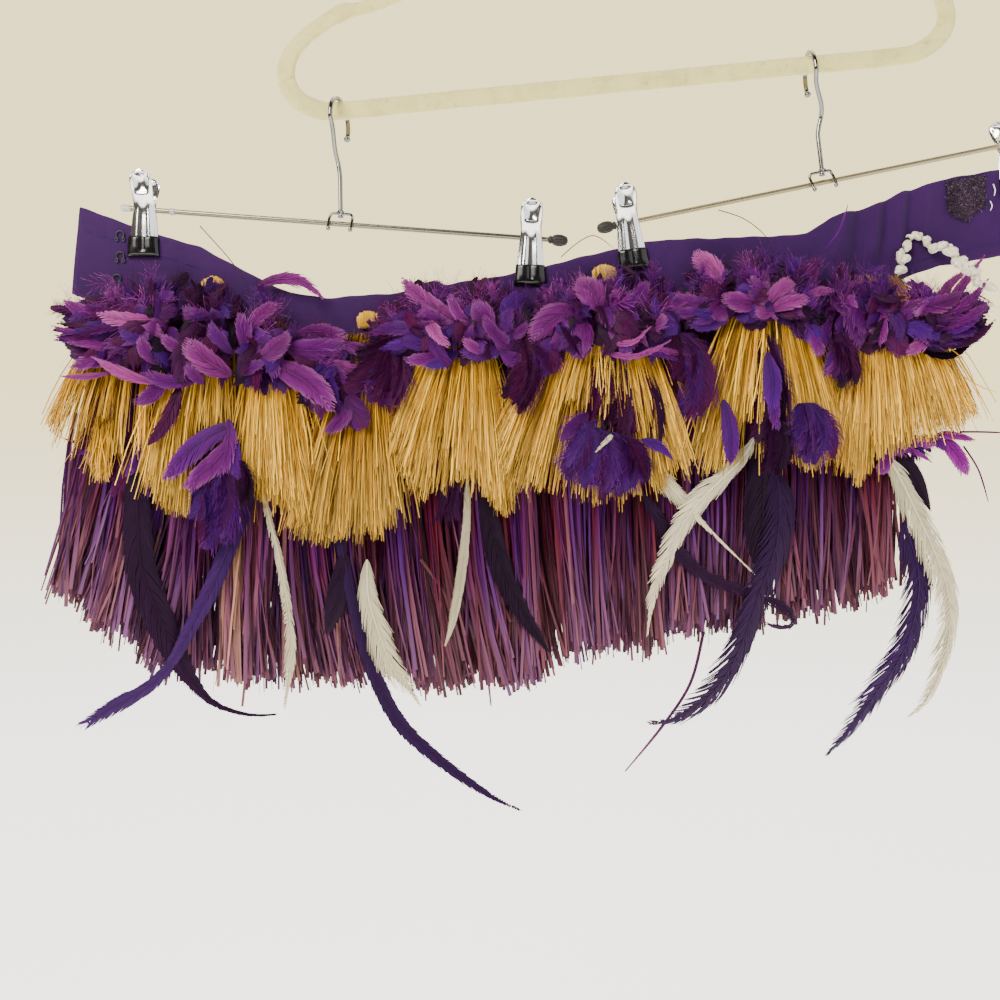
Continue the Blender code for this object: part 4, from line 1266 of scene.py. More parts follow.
BUNCHES = (
    FeatherBunch(
        "feather_bunch_1", "feather_cluster_1",
        (Station(-351.6, -376.2, -346.8, -409.4), Station(-313.1, -363.3, -307.3, -428.5),
         Station(-267.3, -351.0, -262.6, -434.9), Station(-221.6, -362.7, -217.9, -437.5),
         Station(-182.4, -381.0, -179.6, -457.9), Station(-155.0, -407.2, -152.8, -447.7)),
        (Burst(-284.4, -389.5), Burst(-243.6, -392.0), Burst(-212.2, -403.3), Burst(-174.5, -417.2)),
        (
            Quill(-312.1, -384.5, -340.9, -374.4, 10.0, 0.78, 0.6),
            Quill(-271.9, -387.0, -315.2, -384.5, 11.0, 0.98, 0.9, 0.08),
            Quill(-300.7, -403.3, -346.0, -392.0, 8.0, 0.70, 0.6, 0.05, Kind.SPIKE),
            Quill(-295.7, -400.2, -340.9, -398.9, 7.0, 0.66, 0.7, 0.05, Kind.SPIKE),
            Quill(-292.6, -411.5, -336.5, -403.3, 8.0, 0.72, 0.7, -0.06, Kind.SPIKE),
            Quill(-295.7, -414.0, -332.2, -418.4, 10.0, 0.66, 0.5, -0.06),
            Quill(-278.1, -429.1, -317.1, -412.8, 8.5, 0.98, 0.9, 0.06, Kind.SPIKE),
            Quill(-307.0, -422.2, -339.7, -424.7, 5.0, 0.88, 0.5, 0.04, Kind.SPIKE),
            Quill(-264.6, -430.4, -283.6, -469.7, 14.0, 0.24, 0.1, 0.08),
            Quill(-273.4, -424.1, -290.5, -443.1, 12.0, 0.62, 0.3),
            Quill(-230.4, -423.4, -254.9, -401.5, 17.0, 0.82, 1.0, 0.1, Kind.BROAD),
            Quill(-219.1, -414.6, -194.6, -394.5, 17.0, 0.76, 1.0, -0.1, Kind.BROAD),
            Quill(-221.6, -397.1, -202.8, -375.1, 10.0, 0.80, 0.9, 0.1),
            Quill(-199.0, -404.0, -160.0, -404.6, 16.0, 0.58, 1.0, -0.08, Kind.BROAD, 1.15),
            Quill(-191.5, -394.5, -158.2, -397.7, 11.0, 0.74, 0.8, 0.08),
            Quill(-171.4, -413.4, -136.8, -435.4, 11.0, 0.88, 1.0, 0.08),
            Quill(-163.2, -400.8, -138.1, -412.1, 10.0, 0.72, 0.7, 0.06),
            Quill(-208.4, -415.5, -166.2, -446.4, 18.0, 0.72, 0.8, 0.1, Kind.BROAD),
            Quill(-160.8, -426.6, -143.1, -457.0, 19.0, 0.32, 0.5, -0.12, Kind.BROAD),
            Quill(-155.7, -439.3, -170.9, -460.2, 14.0, 0.64, 0.5, 0.1, Kind.BROAD),
            Quill(-248.0, -429.1, -256.1, -417.2, 9.0, 0.62, 0.9),
            Quill(-256.8, -410.2, -272.5, -398.9, 8.5, 0.72, 0.9),
            Quill(-276.9, -417.2, -286.3, -399.6, 10.0, 0.66, 0.8),
            Quill(-276.9, -404.0, -300.7, -393.9, 12.0, 0.46, 0.8),
            Quill(-230.4, -409.6, -241.7, -389.5, 10.0, 0.52, 0.9),
            Quill(-224.1, -406.5, -226.6, -383.2, 12.0, 0.60, 0.9, -0.1),
            Quill(-253.0, -427.2, -284.4, -423.4, 10.0, 0.56, 0.8, 0.1),
            Quill(-224.1, -423.4, -207.8, -417.2, 9.0, 0.54, 0.9),
            Quill(-218.5, -361.8, -174.9, -371.6, 11.0, 0.8, 0.3, 0.22, Kind.BLADE),
        ),
        fillers=135, fluffs=95, seed=11),
    FeatherBunch(
        "feather_bunch_2", "feather_cluster_2",
        (Station(-145.8, -382.3, -143.8, -409.4), Station(-120.3, -360.1, -118.9, -422.1),
         Station(-87.7, -357.5, -87.0, -419.6), Station(-58.3, -356.2, -58.3, -415.7),
         Station(-41.3, -358.8, -41.7, -408.1)),
        (Burst(-105.4, -393.9), Burst(-72.1, -393.9), Burst(-48.9, -397.1)),
        (
            Quill(-80.9, -390.8, -123.0, -356.9, 12.0, 0.84, 0.9, 0.06),
            Quill(-75.9, -393.3, -90.3, -370.7, 8.0, 0.76, 0.9),
            Quill(-65.8, -398.3, -76.5, -375.7, 16.0, 0.66, 0.9, -0.08, Kind.BROAD),
            Quill(-106.0, -383.9, -92.2, -406.5, 9.5, 0.96, 1.0, -0.06),
            Quill(-49.5, -405.9, -69.0, -385.8, 10.0, 0.62, 1.0, 0.08),
            Quill(-67.1, -408.4, -81.5, -400.2, 7.5, 0.82, 1.0),
            Quill(-58.3, -383.2, -40.7, -370.0, 12.0, 0.40, 0.9),
            Quill(-54.5, -398.3, -40.7, -387.0, 10.0, 0.62, 0.9, -0.1),
            Quill(-101.0, -402.1, -122.4, -398.9, 12.0, 0.38, 0.7),
            Quill(-113.6, -390.8, -133.0, -377.6, 8.0, 0.64, 0.7, 0.1, Kind.BLADE),
            Quill(-105.4, -395.8, -131.2, -389.5, 9.0, 0.50, 0.6, 0.1),
            Quill(-54.5, -412.1, -31.9, -417.8, 8.0, 0.56, 0.7, 0.1),
            Quill(-58.3, -406.5, -40.7, -414.6, 11.0, 0.54, 0.8, -0.1),
            Quill(-86.6, -406.5, -108.5, -415.9, 12.0, 0.42, 0.6, 0.1),
            Quill(-121.6, -405.8, -140.6, -422.8, 12.0, 0.50, 0.4, 0.1),
            Quill(-118.4, -410.2, -131.1, -435.5, 13.0, 0.34, 0.3, 0.1),
        ),
        fillers=75, fluffs=60, seed=12),
    FeatherBunch(
        "feather_bunch_3", "feather_cluster_3",
        (Station(-36.1, -364.0, -36.6, -401.7), Station(-15.8, -357.5, -16.8, -418.3),
         Station(10.3, -352.3, 8.7, -415.7), Station(36.4, -345.8, 34.3, -420.9),
         Station(56.7, -353.6, 54.1, -409.4)),
        (Burst(-11.2, -385.8), Burst(13.9, -383.2), Burst(39.1, -387.6)),
        (
            Quill(5.8, -382.0, -7.4, -357.5, 21.0, 0.80, 1.0, -0.06, Kind.BROAD),
            Quill(-6.8, -380.7, -38.2, -401.5, 20.0, 0.74, 1.0, -0.1, Kind.BROAD),
            Quill(3.3, -385.1, 30.9, -399.6, 18.0, 0.20, 0.8, 0.1),
            Quill(10.8, -392.0, 29.6, -406.5, 16.0, 0.26, 0.8, 0.1),
            Quill(10.8, -402.7, 36.6, -394.5, 4.5, 0.92, 1.0, -0.2, Kind.BLADE),
            Quill(6.4, -407.7, 49.1, -402.7, 5.0, 0.90, 0.9, -0.16, Kind.BLADE),
            Quill(30.9, -409.6, 66.7, -412.1, 5.5, 0.84, 0.8, 0.08, Kind.BLADE),
            Quill(27.1, -406.5, 62.3, -417.2, 8.0, 0.50, 0.7, 0.08, Kind.BLADE),
            Quill(44.7, -378.8, 65.5, -368.2, 9.0, 0.64, 0.9, -0.1),
            Quill(-20.6, -397.1, -35.0, -410.9, 14.0, 0.48, 0.6, 0.1),
            Quill(-23.7, -406.5, -33.2, -423.4, 13.0, 0.44, 0.4, 0.1),
            Quill(39.1, -390.8, 56.7, -397.1, 14.0, 0.40, 0.8, 0.1),
            Quill(29.6, -381.4, 39.1, -362.5, 12.0, 0.58, 0.8, 0.1),
        ),
        fillers=80, fluffs=85, seed=13),
    FeatherBunch(
        "feather_bunch_4", "feather_cluster_4",
        (Station(61.9, -352.3, 59.2, -395.3), Station(85.4, -343.1, 82.1, -390.2),
         Station(111.6, -341.8, 107.7, -387.7), Station(135.1, -343.1, 130.7, -399.1),
         Station(152.1, -348.4, 147.3, -408.1)),
        (Burst(81.2, -371.9), Burst(108.2, -375.7), Burst(136.4, -378.2)),
        (
            Quill(85.6, -365.0, 68.6, -340.5, 15.0, 0.98, 1.0, -0.06, Kind.BROAD),
            Quill(108.8, -377.0, 83.7, -372.6, 14.0, 0.78, 1.0, 0.08, Kind.BROAD),
            Quill(114.4, -379.5, 130.8, -365.7, 14.0, 0.86, 1.0, 0.1, Kind.BROAD),
            Quill(115.7, -382.6, 138.9, -376.3, 10.0, 0.84, 1.0, 0.08),
            Quill(117.6, -383.2, 105.0, -382.0, 9.0, 0.82, 1.0),
            Quill(76.1, -376.3, 55.4, -368.8, 9.0, 0.62, 0.9),
            Quill(76.1, -380.7, 53.5, -380.1, 8.0, 0.56, 0.8),
            Quill(137.7, -373.2, 158.4, -368.8, 7.0, 0.90, 0.9, 0.1),
            Quill(83.0, -379.5, 67.3, -389.5, 9.0, 0.50, 0.7),
            Quill(95.6, -381.4, 100.0, -389.5, 10.0, 0.44, 0.8),
            Quill(137.7, -389.5, 146.5, -412.1, 10.0, 0.70, 0.5, 0.1),
        ),
        fillers=72, fluffs=85, seed=14),
    FeatherBunch(
        "feather_bunch_5", "feather_cluster_5",
        (Station(157.3, -351.0, 152.4, -405.5), Station(176.9, -352.3, 171.5, -413.2),
         Station(199.7, -356.2, 193.9, -406.8), Station(229.1, -365.4, 222.6, -408.1),
         Station(258.5, -373.2, 251.3, -400.4)),
        (Burst(162.8, -378.2), Burst(186.7, -385.8), Burst(211.8, -392.0)),
        (
            Quill(212.4, -390.1, 255.8, -344.9, 8.5, 0.82, 0.9, -0.05, Kind.SPIKE),
            Quill(213.7, -392.7, 255.8, -361.9, 9.0, 0.74, 0.95, -0.08, Kind.SPIKE),
            Quill(214.9, -395.2, 253.3, -377.6, 9.0, 0.7, 0.9, -0.08, Kind.SPIKE),
            Quill(214.9, -397.7, 248.2, -385.1, 9.0, 0.5, 0.8, -0.08, Kind.SPIKE),
            Quill(211.8, -388.3, 247.0, -353.1, 8.5, 0.88, 1.0, 0.05, Kind.SPIKE),
            Quill(215.6, -403.3, 257.7, -388.9, 8.0, 0.16, 0.6, -0.16, Kind.SPIKE),
            Quill(185.4, -378.8, 236.9, -371.3, 13.0, 0.74, 0.9, -0.12, Kind.BROAD, 0.8),
            Quill(182.9, -395.8, 201.1, -412.1, 14.0, 0.30, 0.7, 0.1, Kind.BROAD),
            Quill(215.6, -396.4, 199.9, -410.2, 10.0, 0.88, 0.8, 0.1),
            Quill(193.0, -392.0, 214.9, -402.1, 13.0, 0.42, 0.8, 0.1),
            Quill(162.2, -389.5, 148.4, -424.7, 12.0, 0.42, 0.5, 0.1),
            Quill(166.0, -404.6, 149.0, -424.1, 7.5, 0.72, 0.6, 0.08),
            Quill(165.3, -388.9, 160.3, -417.8, 13.0, 0.36, 0.4, 0.1),
            Quill(156.5, -385.8, 144.0, -406.5, 11.0, 0.52, 0.6, 0.1),
        ),
        fillers=80, fluffs=85, seed=15),
)


# ------------------------------------------------------------------ raffia and tassels


@dataclass
class RaffiaRun:
    """One run of purple raffia strips."""

    name: str
    node: str
    stations: tuple[Station, ...]
    count: int
    seed: int
    tints: tuple[float, ...]
    widths: Pair = (0.9, 2.7)
    rows: int = 7
    bundles: float = 46.0
    # Dark strips of painted shade at the back: how many, and how wide.
    shade_strips: int = 56
    shade_strip_width: float = 5.5

    def build(self, finishes: Finishes) -> Piece:
        """Makes the run.

        Args:
            finishes: the materials.

        Returns:
            The piece.
        """
        rng = np.random.default_rng(self.seed)
        count, table = self.count, np.array(self.stations)
        across = np.sort(rng.random(count)) * (len(table) - 1)
        bundle = np.cumsum(rng.random(count) < self.bundles / count)
        bundles = int(bundle[-1]) + 1
        middle_share = np.array([across[bundle == number].mean() for number in range(bundles)])[bundle]
        top_share = across + (middle_share - across) * 0.25 + rng.normal(0.0, 0.03, count)
        low_share = across + (middle_share - across) * rng.uniform(-0.5, 0.5, bundles)[bundle]
        knots = np.arange(len(table))
        top_x, top_z = (np.interp(top_share, knots, column) for column in table.T[:2])
        low_x = np.interp(low_share, knots, table[:, 2])
        low_x = low_x + rng.normal(0.0, 4.0, bundles)[bundle] + rng.normal(0.0, 4.0, count)
        hem = np.interp(low_x, HEM[:, 0], HEM[:, 1])
        short = np.where(rng.random(count) < 0.22, rng.exponential(16.0, count), 0.0)
        low_z = hem + rng.normal(1.0, 3.5, bundles)[bundle] + rng.normal(0.5, 4.5, count)
        low_z = low_z + np.minimum(short, 70.0)
        share = np.linspace(0.0, 1.0, self.rows)[None, :]
        spread = share ** rng.uniform(1.5, 2.6, (count, 1))
        bend = rng.normal(0.0, 3.0, (count, 1)) + rng.normal(0.0, 4.0, (bundles, 1))[bundle]
        bend = bend * np.sin(math.pi * share)
        curl = rng.uniform(0.4, 2.4, (count, 1)) * share * np.sin(
            rng.uniform(2.0, 8.0, (count, 1)) * share + rng.uniform(0.0, 6.3, (count, 1)))
        x = top_x[:, None] + (low_x - top_x)[:, None] * spread + bend + curl
        z = top_z[:, None] + (low_z - top_z)[:, None] * share
        layer = rng.beta(0.8, 0.9, bundles)[bundle] * 0.6 + rng.random(count) * 0.45
        depth = held(layer)[:, None]
        front, back = Layers.fringe_front(x, z), Layers.fringe_back(x, z)
        y = front + 0.6 + (back - front - 1.2) * held(depth + 0.05 * np.sin(6.0 * share + bend))
        middle = spots(x, y, z)
        width = rng.uniform(*self.widths, (count, 1)) * np.ones_like(share)
        turn = rng.normal(0.0, 0.6, (count, 1)) + rng.normal(0.0, 1.1, (count, 1)) * share
        half = ribbon_sides(middle, width, turn)
        tint = 0.85 * rng.choice(self.tints, bundles)[bundle] + 0.15 * rng.choice(self.tints, count)
        tint = held(tint + rng.normal(0.0, 0.09, count))
        # Painted shade: strips darker towards the top and towards the back of the fringe, on top of their
        # random tone.
        shade = rng.normal(1.0, 0.2, (count, 1)) * (0.8 + 0.3 * share) * (1.15 - 0.6 * depth)
        crown = np.cross(half, unit(np.gradient(middle, axis=1))) * rng.uniform(-0.6, 0.6, (count, 1, 1))
        batch = MeshBatch()
        batch.strips(middle, half, tint, shade.clip(0.3, 1.7), crown)
        self._shade_backing(batch, rng)
        return batch.build(self.name, [finishes.raffia], "raffia", (self.node,))

    def _shade_backing(self, batch: MeshBatch, rng: Dice) -> None:
        """Adds broad dark strips at the back: painted shade in the gaps between the bundles, so that no light
        shows through them.

        Args:
            batch: what it is added to.
            rng: the dice.
        """
        table, count = np.array(self.stations), self.shade_strips
        knots = np.arange(len(table))
        across = np.linspace(0.0, len(table) - 1.0, count)
        share = np.linspace(0.0, 1.0, self.rows)[None, :]
        top_x, top_z, low_x = (np.interp(across, knots, column)[:, None] for column in table.T[:3])
        low_z = np.interp(low_x, HEM[:, 0], HEM[:, 1]) + rng.uniform(8.0, 24.0, (count, 1))
        x = top_x + (low_x - top_x) * share**1.8 + rng.normal(0.0, 1.0, (count, 1)) * share
        z = top_z + (low_z - top_z) * share
        middle = spots(x, Layers.fringe_back(x, z) - 1.0 - 2.0 * rng.random((count, 1)), z)
        width = np.full(x.shape, self.shade_strip_width) * (1.1 - 0.5 * share**4)
        half = ribbon_sides(middle, width, rng.normal(0.0, 0.15, x.shape))
        batch.strips(middle, half, rng.uniform(0.0, 0.3, count), rng.uniform(0.35, 0.7, count))


HEM = np.array((
    (-351.4, -562.5), (-325.8, -579.6), (-303.1, -591.3), (-297.2, -606.5), (-279.2, -611.0),
    (-240.5, -615.2), (-222.5, -622.3), (-191.6, -618.5), (-168.4, -622.3), (-133.0, -613.3),
    (-104.7, -626.2), (-78.9, -623.0), (-44.1, -621.7), (-22.9, -611.4), (-6.1, -604.9),
    (16.4, -598.5), (30.6, -597.2), (42.8, -590.1), (55.0, -587.6), (78.2, -585.6), (111.1, -582.4),
    (137.5, -576.0), (160.7, -574.0), (183.2, -564.4), (199.9, -559.2), (207.0, -554.1),
))

RUNS = (
    RaffiaRun("raffia_left", "fringe_left",
              (Station(-321.0, -366.0, -349.0, -562.0), Station(-292.1, -382.2, -318.8, -583.3),
               Station(-258.7, -393.6, -279.8, -610.7), Station(-222.0, -409.0, -224.4, -621.1),
               Station(-187.9, -418.3, -167.0, -621.1)), count=1300, seed=21,
              tints=(0.3, 0.5, 0.64, 0.74, 0.42, 0.6, 0.84, 0.2)),
    RaffiaRun("raffia_middle", "fringe_middle",
              (Station(-183.9, -419.7, -167.1, -621.1), Station(-145.1, -418.3, -133.9, -614.6),
               Station(-105.1, -414.3, -87.6, -625.0), Station(-58.3, -406.3, -44.0, -621.1),
               Station(-14.2, -398.3, 1.0, -605.5)), count=1300, seed=22,
              tints=(0.08, 0.14, 0.16, 0.62, 0.45, 0.2, 0.28, 0.74)),
    RaffiaRun("raffia_right", "fringe_right",
              (Station(-10.2, -396.9, 0.9, -602.9), Station(35.2, -386.2, 39.4, -595.0),
               Station(82.0, -379.6, 81.8, -587.2), Station(142.2, -371.5, 141.0, -576.8),
               Station(203.6, -356.8, 204.0, -562.5)), count=1500, seed=23,
              tints=(0.1, 0.24, 0.3, 0.16, 0.5, 0.34, 0.6, 0.2)),
)


class Gap(NamedTuple):
    """A stretch across a tassel where the front straws end short."""

    left: float
    right: float
    reach: float
    thin: float
    behind: float = 0.42


@dataclass
class Tassel:
    """A tan fibre tassel, tied at the head and cut at the hem."""

    name: str
    node: str
    head: Triple
    hem: tuple[Pair, ...]
    gaps: tuple[Gap, ...] = ()
    count: int = 1500
    seed: int = 31
    clumps: int = 60
    pull: float = 0.55
    tied: bool = False
    shag: float = 0.5
    tints: Pair = (0.2, 0.95)
    start: float = 0.13
    rows: int = 7
    tie_straws: int = 70
    tie_width: float = 0.42

    def build(self, finishes: Finishes) -> Piece:
        """Makes the tassel.

        Args:
            finishes: the materials.

        Returns:
            The piece.
        """
        rng = np.random.default_rng(self.seed)
        batch = MeshBatch()
        self._straws(batch, rng, self.count, (0.42, 0.85), 0.0)
        self._straws(batch, rng, self.count // 7, (0.5, 1.0), 10.0)
        if self.tied:
            self._tie(batch, rng)
        return batch.build(self.name, [finishes.fibre], "fibre", (self.node,) if self.node else ())

    def _straws(self, batch: MeshBatch, rng: Dice, count: int, widths: Pair,
                stray: float) -> None:
        """Adds straws from the head to the hem.

        Args:
            batch: what it is added to.
            rng: the dice.
            count: number of straws.
            widths: least and greatest width.
            stray: how far the tips stray; 0 for straws that lie in clumps.
        """
        across = np.sort(rng.random(count))
        knots = np.sort(rng.random(self.clumps))
        nearest = np.argmin(np.abs(across[:, None] - knots[None, :]), axis=1)
        gather = self.pull * rng.uniform(0.3, 1.0, self.clumps)[nearest] * (0.0 if stray else 1.0)
        end_share = across + (knots[nearest] - across) * gather
        hem = even(np.array([(x, 0.0, z) for x, z in self.hem]), held(end_share))
        head_x, head_z, head_width = self.head
        start_x = head_x + (across - 0.5) * head_width * 0.8 + rng.normal(0.0, 2.0, count)
        start_z = head_z + rng.normal(0.0, 2.5, count)
        tip_x = hem[:, 0] + rng.normal(0.0, 1.3 + stray, count)
        tip_z = hem[:, 2] + np.abs(rng.normal(0.0, 3.6, count)) - 2.6
        tip_z = tip_z + rng.normal(0.0, 2.4, self.clumps)[nearest]
        reach = 1.0 - np.where(rng.random(count) < 0.2, rng.uniform(0.02, 0.22, count), 0.0)
        depth = held(rng.random(self.clumps)[nearest] * 0.5 + rng.random(count) * 0.6)
        reach = reach * (1.0 - held(depth - 0.3) * rng.uniform(0.0, self.shag, count))
        keep = np.ones(count, bool)
        for gap in self.gaps:
            hit = (across > gap.left) & (across < gap.right) & (depth > gap.behind)
            reach = np.where(hit, gap.reach * rng.uniform(0.86, 1.06, count), reach)
            keep &= ~(hit & (rng.random(count) < gap.thin))
        share = np.linspace(0.0, 1.0, self.rows)[None, :]
        share = self.start + share * (reach[:, None] - self.start)
        bow_x = start_x + (tip_x - start_x) * 0.58
        bow_z = start_z + (tip_z - start_z) * 0.40
        a, b, c = (1.0 - share) ** 2, 2.0 * share * (1.0 - share), share**2
        wave = np.sin(share * rng.uniform(3.0, 9.0, (count, 1)) + rng.uniform(0.0, 6.3, (count, 1)))
        wander = rng.normal(0.0, 1.6, (count, 1)) * wave
        wander = wander + rng.normal(0.0, 2.2, (count, 1)) * share * (1.0 - share)
        x = a * start_x[:, None] + b * bow_x[:, None] + c * tip_x[:, None] + wander
        z = a * start_z[:, None] + b * bow_z[:, None] + c * tip_z[:, None]
        front, back = Layers.fan_front(x, z), Layers.fan_back(x, z)
        edge = 0.4 + 0.6 * np.sin(math.pi * across)[:, None] ** 0.5
        y = back - 0.4 + (front - back + 0.8) * edge * held(depth[:, None] + 0.12 * wave)
        middle = spots(x, y, z)
        width = rng.uniform(*widths, (count, 1)) * (1.0 - 0.3 * share)
        turn = rng.normal(0.0, 0.8, (count, 1)) + rng.normal(0.0, 0.8, (count, 1)) * share
        half = ribbon_sides(middle, width, turn)
        tone = rng.normal(0.0, 0.09, self.clumps)[nearest]
        tint = held(rng.uniform(*self.tints, count) + tone)
        # Painted shade: straws darker towards the back of the tassel and towards the head, on top of each
        # clump's random tone.
        shade = (rng.normal(1.0, 0.2, (count, 1)) + tone[:, None]) * (0.5 + 0.62 * depth[:, None])
        shade = np.clip(shade * (0.8 + 0.35 * share), 0.3, 1.6)
        batch.strips(middle[keep], half[keep], tint[keep], shade[keep])

    def _tie(self, batch: MeshBatch, rng: Dice) -> None:
        """Adds the rounded fold of straw above the tie.

        Args:
            batch: what it is added to.
            rng: the dice.
        """
        head_x, head_z, head_width = self.head
        count = self.tie_straws
        place = np.sort(rng.uniform(-0.98, 0.98, count))[:, None]
        cap = np.sqrt(1.0 - place**2)
        turn = np.linspace(0.0, math.pi, 9)[None, :]
        x = head_x + place * head_width * self.tie_width * (0.85 + 0.15 * np.sin(turn))
        x = x + rng.normal(0.0, 0.3, (count, 1))
        z = head_z - 6.0 + (4.0 + 6.5 * cap) * np.sin(turn) + rng.normal(0.0, 0.4, (count, 1))
        y = Layers.fan_back(x, z) - 3.6 - 3.4 * cap**0.6 * np.cos(turn)
        middle = spots(x, y, z)
        half = np.zeros_like(middle)
        half[..., 0] = 0.5 * rng.uniform(0.5, 1.0, (count, 1))
        tint, shade = rng.uniform(0.5, 1.0, count), rng.normal(1.1, 0.15, count)
        batch.strips(middle, half, tint, shade.clip(0.7, 1.4))


TASSELS = (
    Tassel("tassel_1", "fan_1", (-298.2, -366.6, 17.4),
           ((-351.1, -455.3), (-344.7, -462.9), (-333.2, -470.6), (-319.1, -475.1), (-302.5, -478.3),
            (-286.5, -477.6)),
           (Gap(0.16, 0.9, 0.97, 0.7, 0.0),), count=620, seed=31, clumps=24, pull=0.98, shag=0.2,
           tints=(0.1, 0.8)),
    Tassel("tassel_9", "", (-312.8, -448.0, 8.0),
           ((-321.2, -480.8), (-319.9, -487.2), (-316.7, -491.7), (-312.8, -492.3), (-309.6, -488.5)),
           count=170, seed=39, clumps=12, pull=0.4, shag=0.3, tints=(0.2, 0.8)),
    Tassel("tassel_2", "fan_2", (-248.8, -359.9, 17.4),
           ((-289.7, -489.8), (-280.8, -500.0), (-269.3, -509.0), (-250.1, -519.2), (-225.8, -521.7)),
           (Gap(0.52, 1.0, 0.66, 0.8, 0.2),), count=1500, seed=32, clumps=46, pull=0.7, tied=True),
    Tassel("tassel_3", "fan_3", (-212.9, -374.6, 17.4),
           ((-224.5, -485.9), (-215.6, -497.4), (-204.0, -503.8), (-193.8, -511.5), (-183.6, -519.2),
            (-172.1, -521.7)),
           count=1700, seed=33, clumps=60, pull=0.4),
    Tassel("tassel_4", "fan_4", (-146.2, -382.6, 17.4),
           ((-195.1, -517.9), (-182.3, -527.5), (-163.1, -530.1), (-144.0, -526.9), (-129.9, -522.4),
            (-123.5, -502.6)),
           count=1900, seed=34, clumps=60, pull=0.4, tied=True, tints=(0.0, 0.55)),
    Tassel("tassel_5", "fan_5", (-79.6, -370.6, 18.8),
           ((-136.3, -456.5), (-132.4, -470.6), (-126.1, -484.7), (-114.5, -496.2), (-99.2, -498.7),
            (-82.6, -489.8), (-71.1, -498.7), (-60.2, -510.2), (-48.1, -512.8)),
           (Gap(0.46, 0.62, 0.84, 0.5),), count=2000, seed=35, clumps=60, pull=0.6),
    Tassel("tassel_6", "fan_6", (11.0, -351.9, 20.1),
           ((-60.2, -459.1), (-58.9, -483.4), (-50.6, -497.4), (-31.4, -496.8), (-15.5, -501.9),
            (10.1, -505.8), (28.0, -502.6), (49.1, -493.6), (68.3, -483.4)),
           (Gap(0.36, 0.78, 0.64, 0.55, 0.4),), count=2200, seed=36, clumps=56, pull=0.85, tied=True),
    Tassel("tassel_7", "fan_7", (120.3, -345.3, 20.1),
           ((63.2, -473.2), (71.5, -482.1), (82.4, -485.9), (101.5, -475.1), (123.9, -473.2), (141.2, -484.7),
            (155.2, -479.5), (167.4, -459.1)),
           (Gap(0.20, 0.42, 0.80, 0.6, 0.3), Gap(0.42, 0.64, 0.5, 0.92, 0.3)), count=1900, seed=37, clumps=56,
           pull=0.7),
    Tassel("tassel_8", "fan_8", (186.9, -347.9, 18.8),
           ((157.8, -477.0), (162.9, -487.2), (171.9, -491.7), (179.5, -479.5), (197.4, -470.0),
            (219.8, -462.9), (241.5, -457.2), (249.8, -447.6)),
           count=2100, seed=38, clumps=60, pull=0.45),
)


# ------------------------------------------------------------------ plumes and long feathers


def flat_rise(x: Array, z: Array) -> Array:
    """Rise of a layer without a dome."""
    return np.full(np.shape(x), 3.0)


@dataclass
class Tuft:
    """Short feathers that show under and between the tassels."""

    name: str
    nodes: tuple[str, ...]
    leaves: tuple[Quill, ...]
    down: tuple[Quill, ...] = ()
    copies: int = 8
    seed: int = 51
    sink: float = 0.0

    def seat(self, x: Array, z: Array) -> Array:
        """Depth that the tuft lies at, between the raffia and the front of the tassels."""
        back = Layers.fringe_front(x, z)
        return back + (Layers.fan_front(x, z) - back) * self.sink

    def build(self, finishes: Finishes) -> Piece:
        """Makes the tuft.

        Args:
            finishes: the materials.

        Returns:
            The piece.
        """
        rng = np.random.default_rng(self.seed)
        batch = MeshBatch()
        plumage = Plumage(batch, rng)
        for quill in self.down:
            for _ in range(self.copies):
                spread = rng.normal(0.0, 3.6, 2)
                moved = quill._replace(
                    root_x=quill.root_x + 0.6 * spread[0], tip_x=quill.tip_x + spread[0],
                    tip_z=quill.tip_z + spread[1], tint=quill.tint + rng.normal(0.0, 0.06),
                    lift=rng.uniform(-0.4, 1.2))
                spine = quill_spine(moved, self.seat, flat_rise)
                plumage.grow(spine, moved.width, Kind.DOWN, moved.tint, rng.uniform(0.75, 1.15),
                             rng.normal(0.0, 0.5), rng.normal(0.0, 0.5))
        for quill in self.leaves:
            spine = quill_spine(quill, self.seat, flat_rise)
            plumage.grow(spine, quill.width, quill.kind, quill.tint, quill.shade, rng.normal(0.0, 0.2),
                         rng.normal(0.0, 0.3))
        return batch.build(self.name, [finishes.violet], "feather_violet", self.nodes)


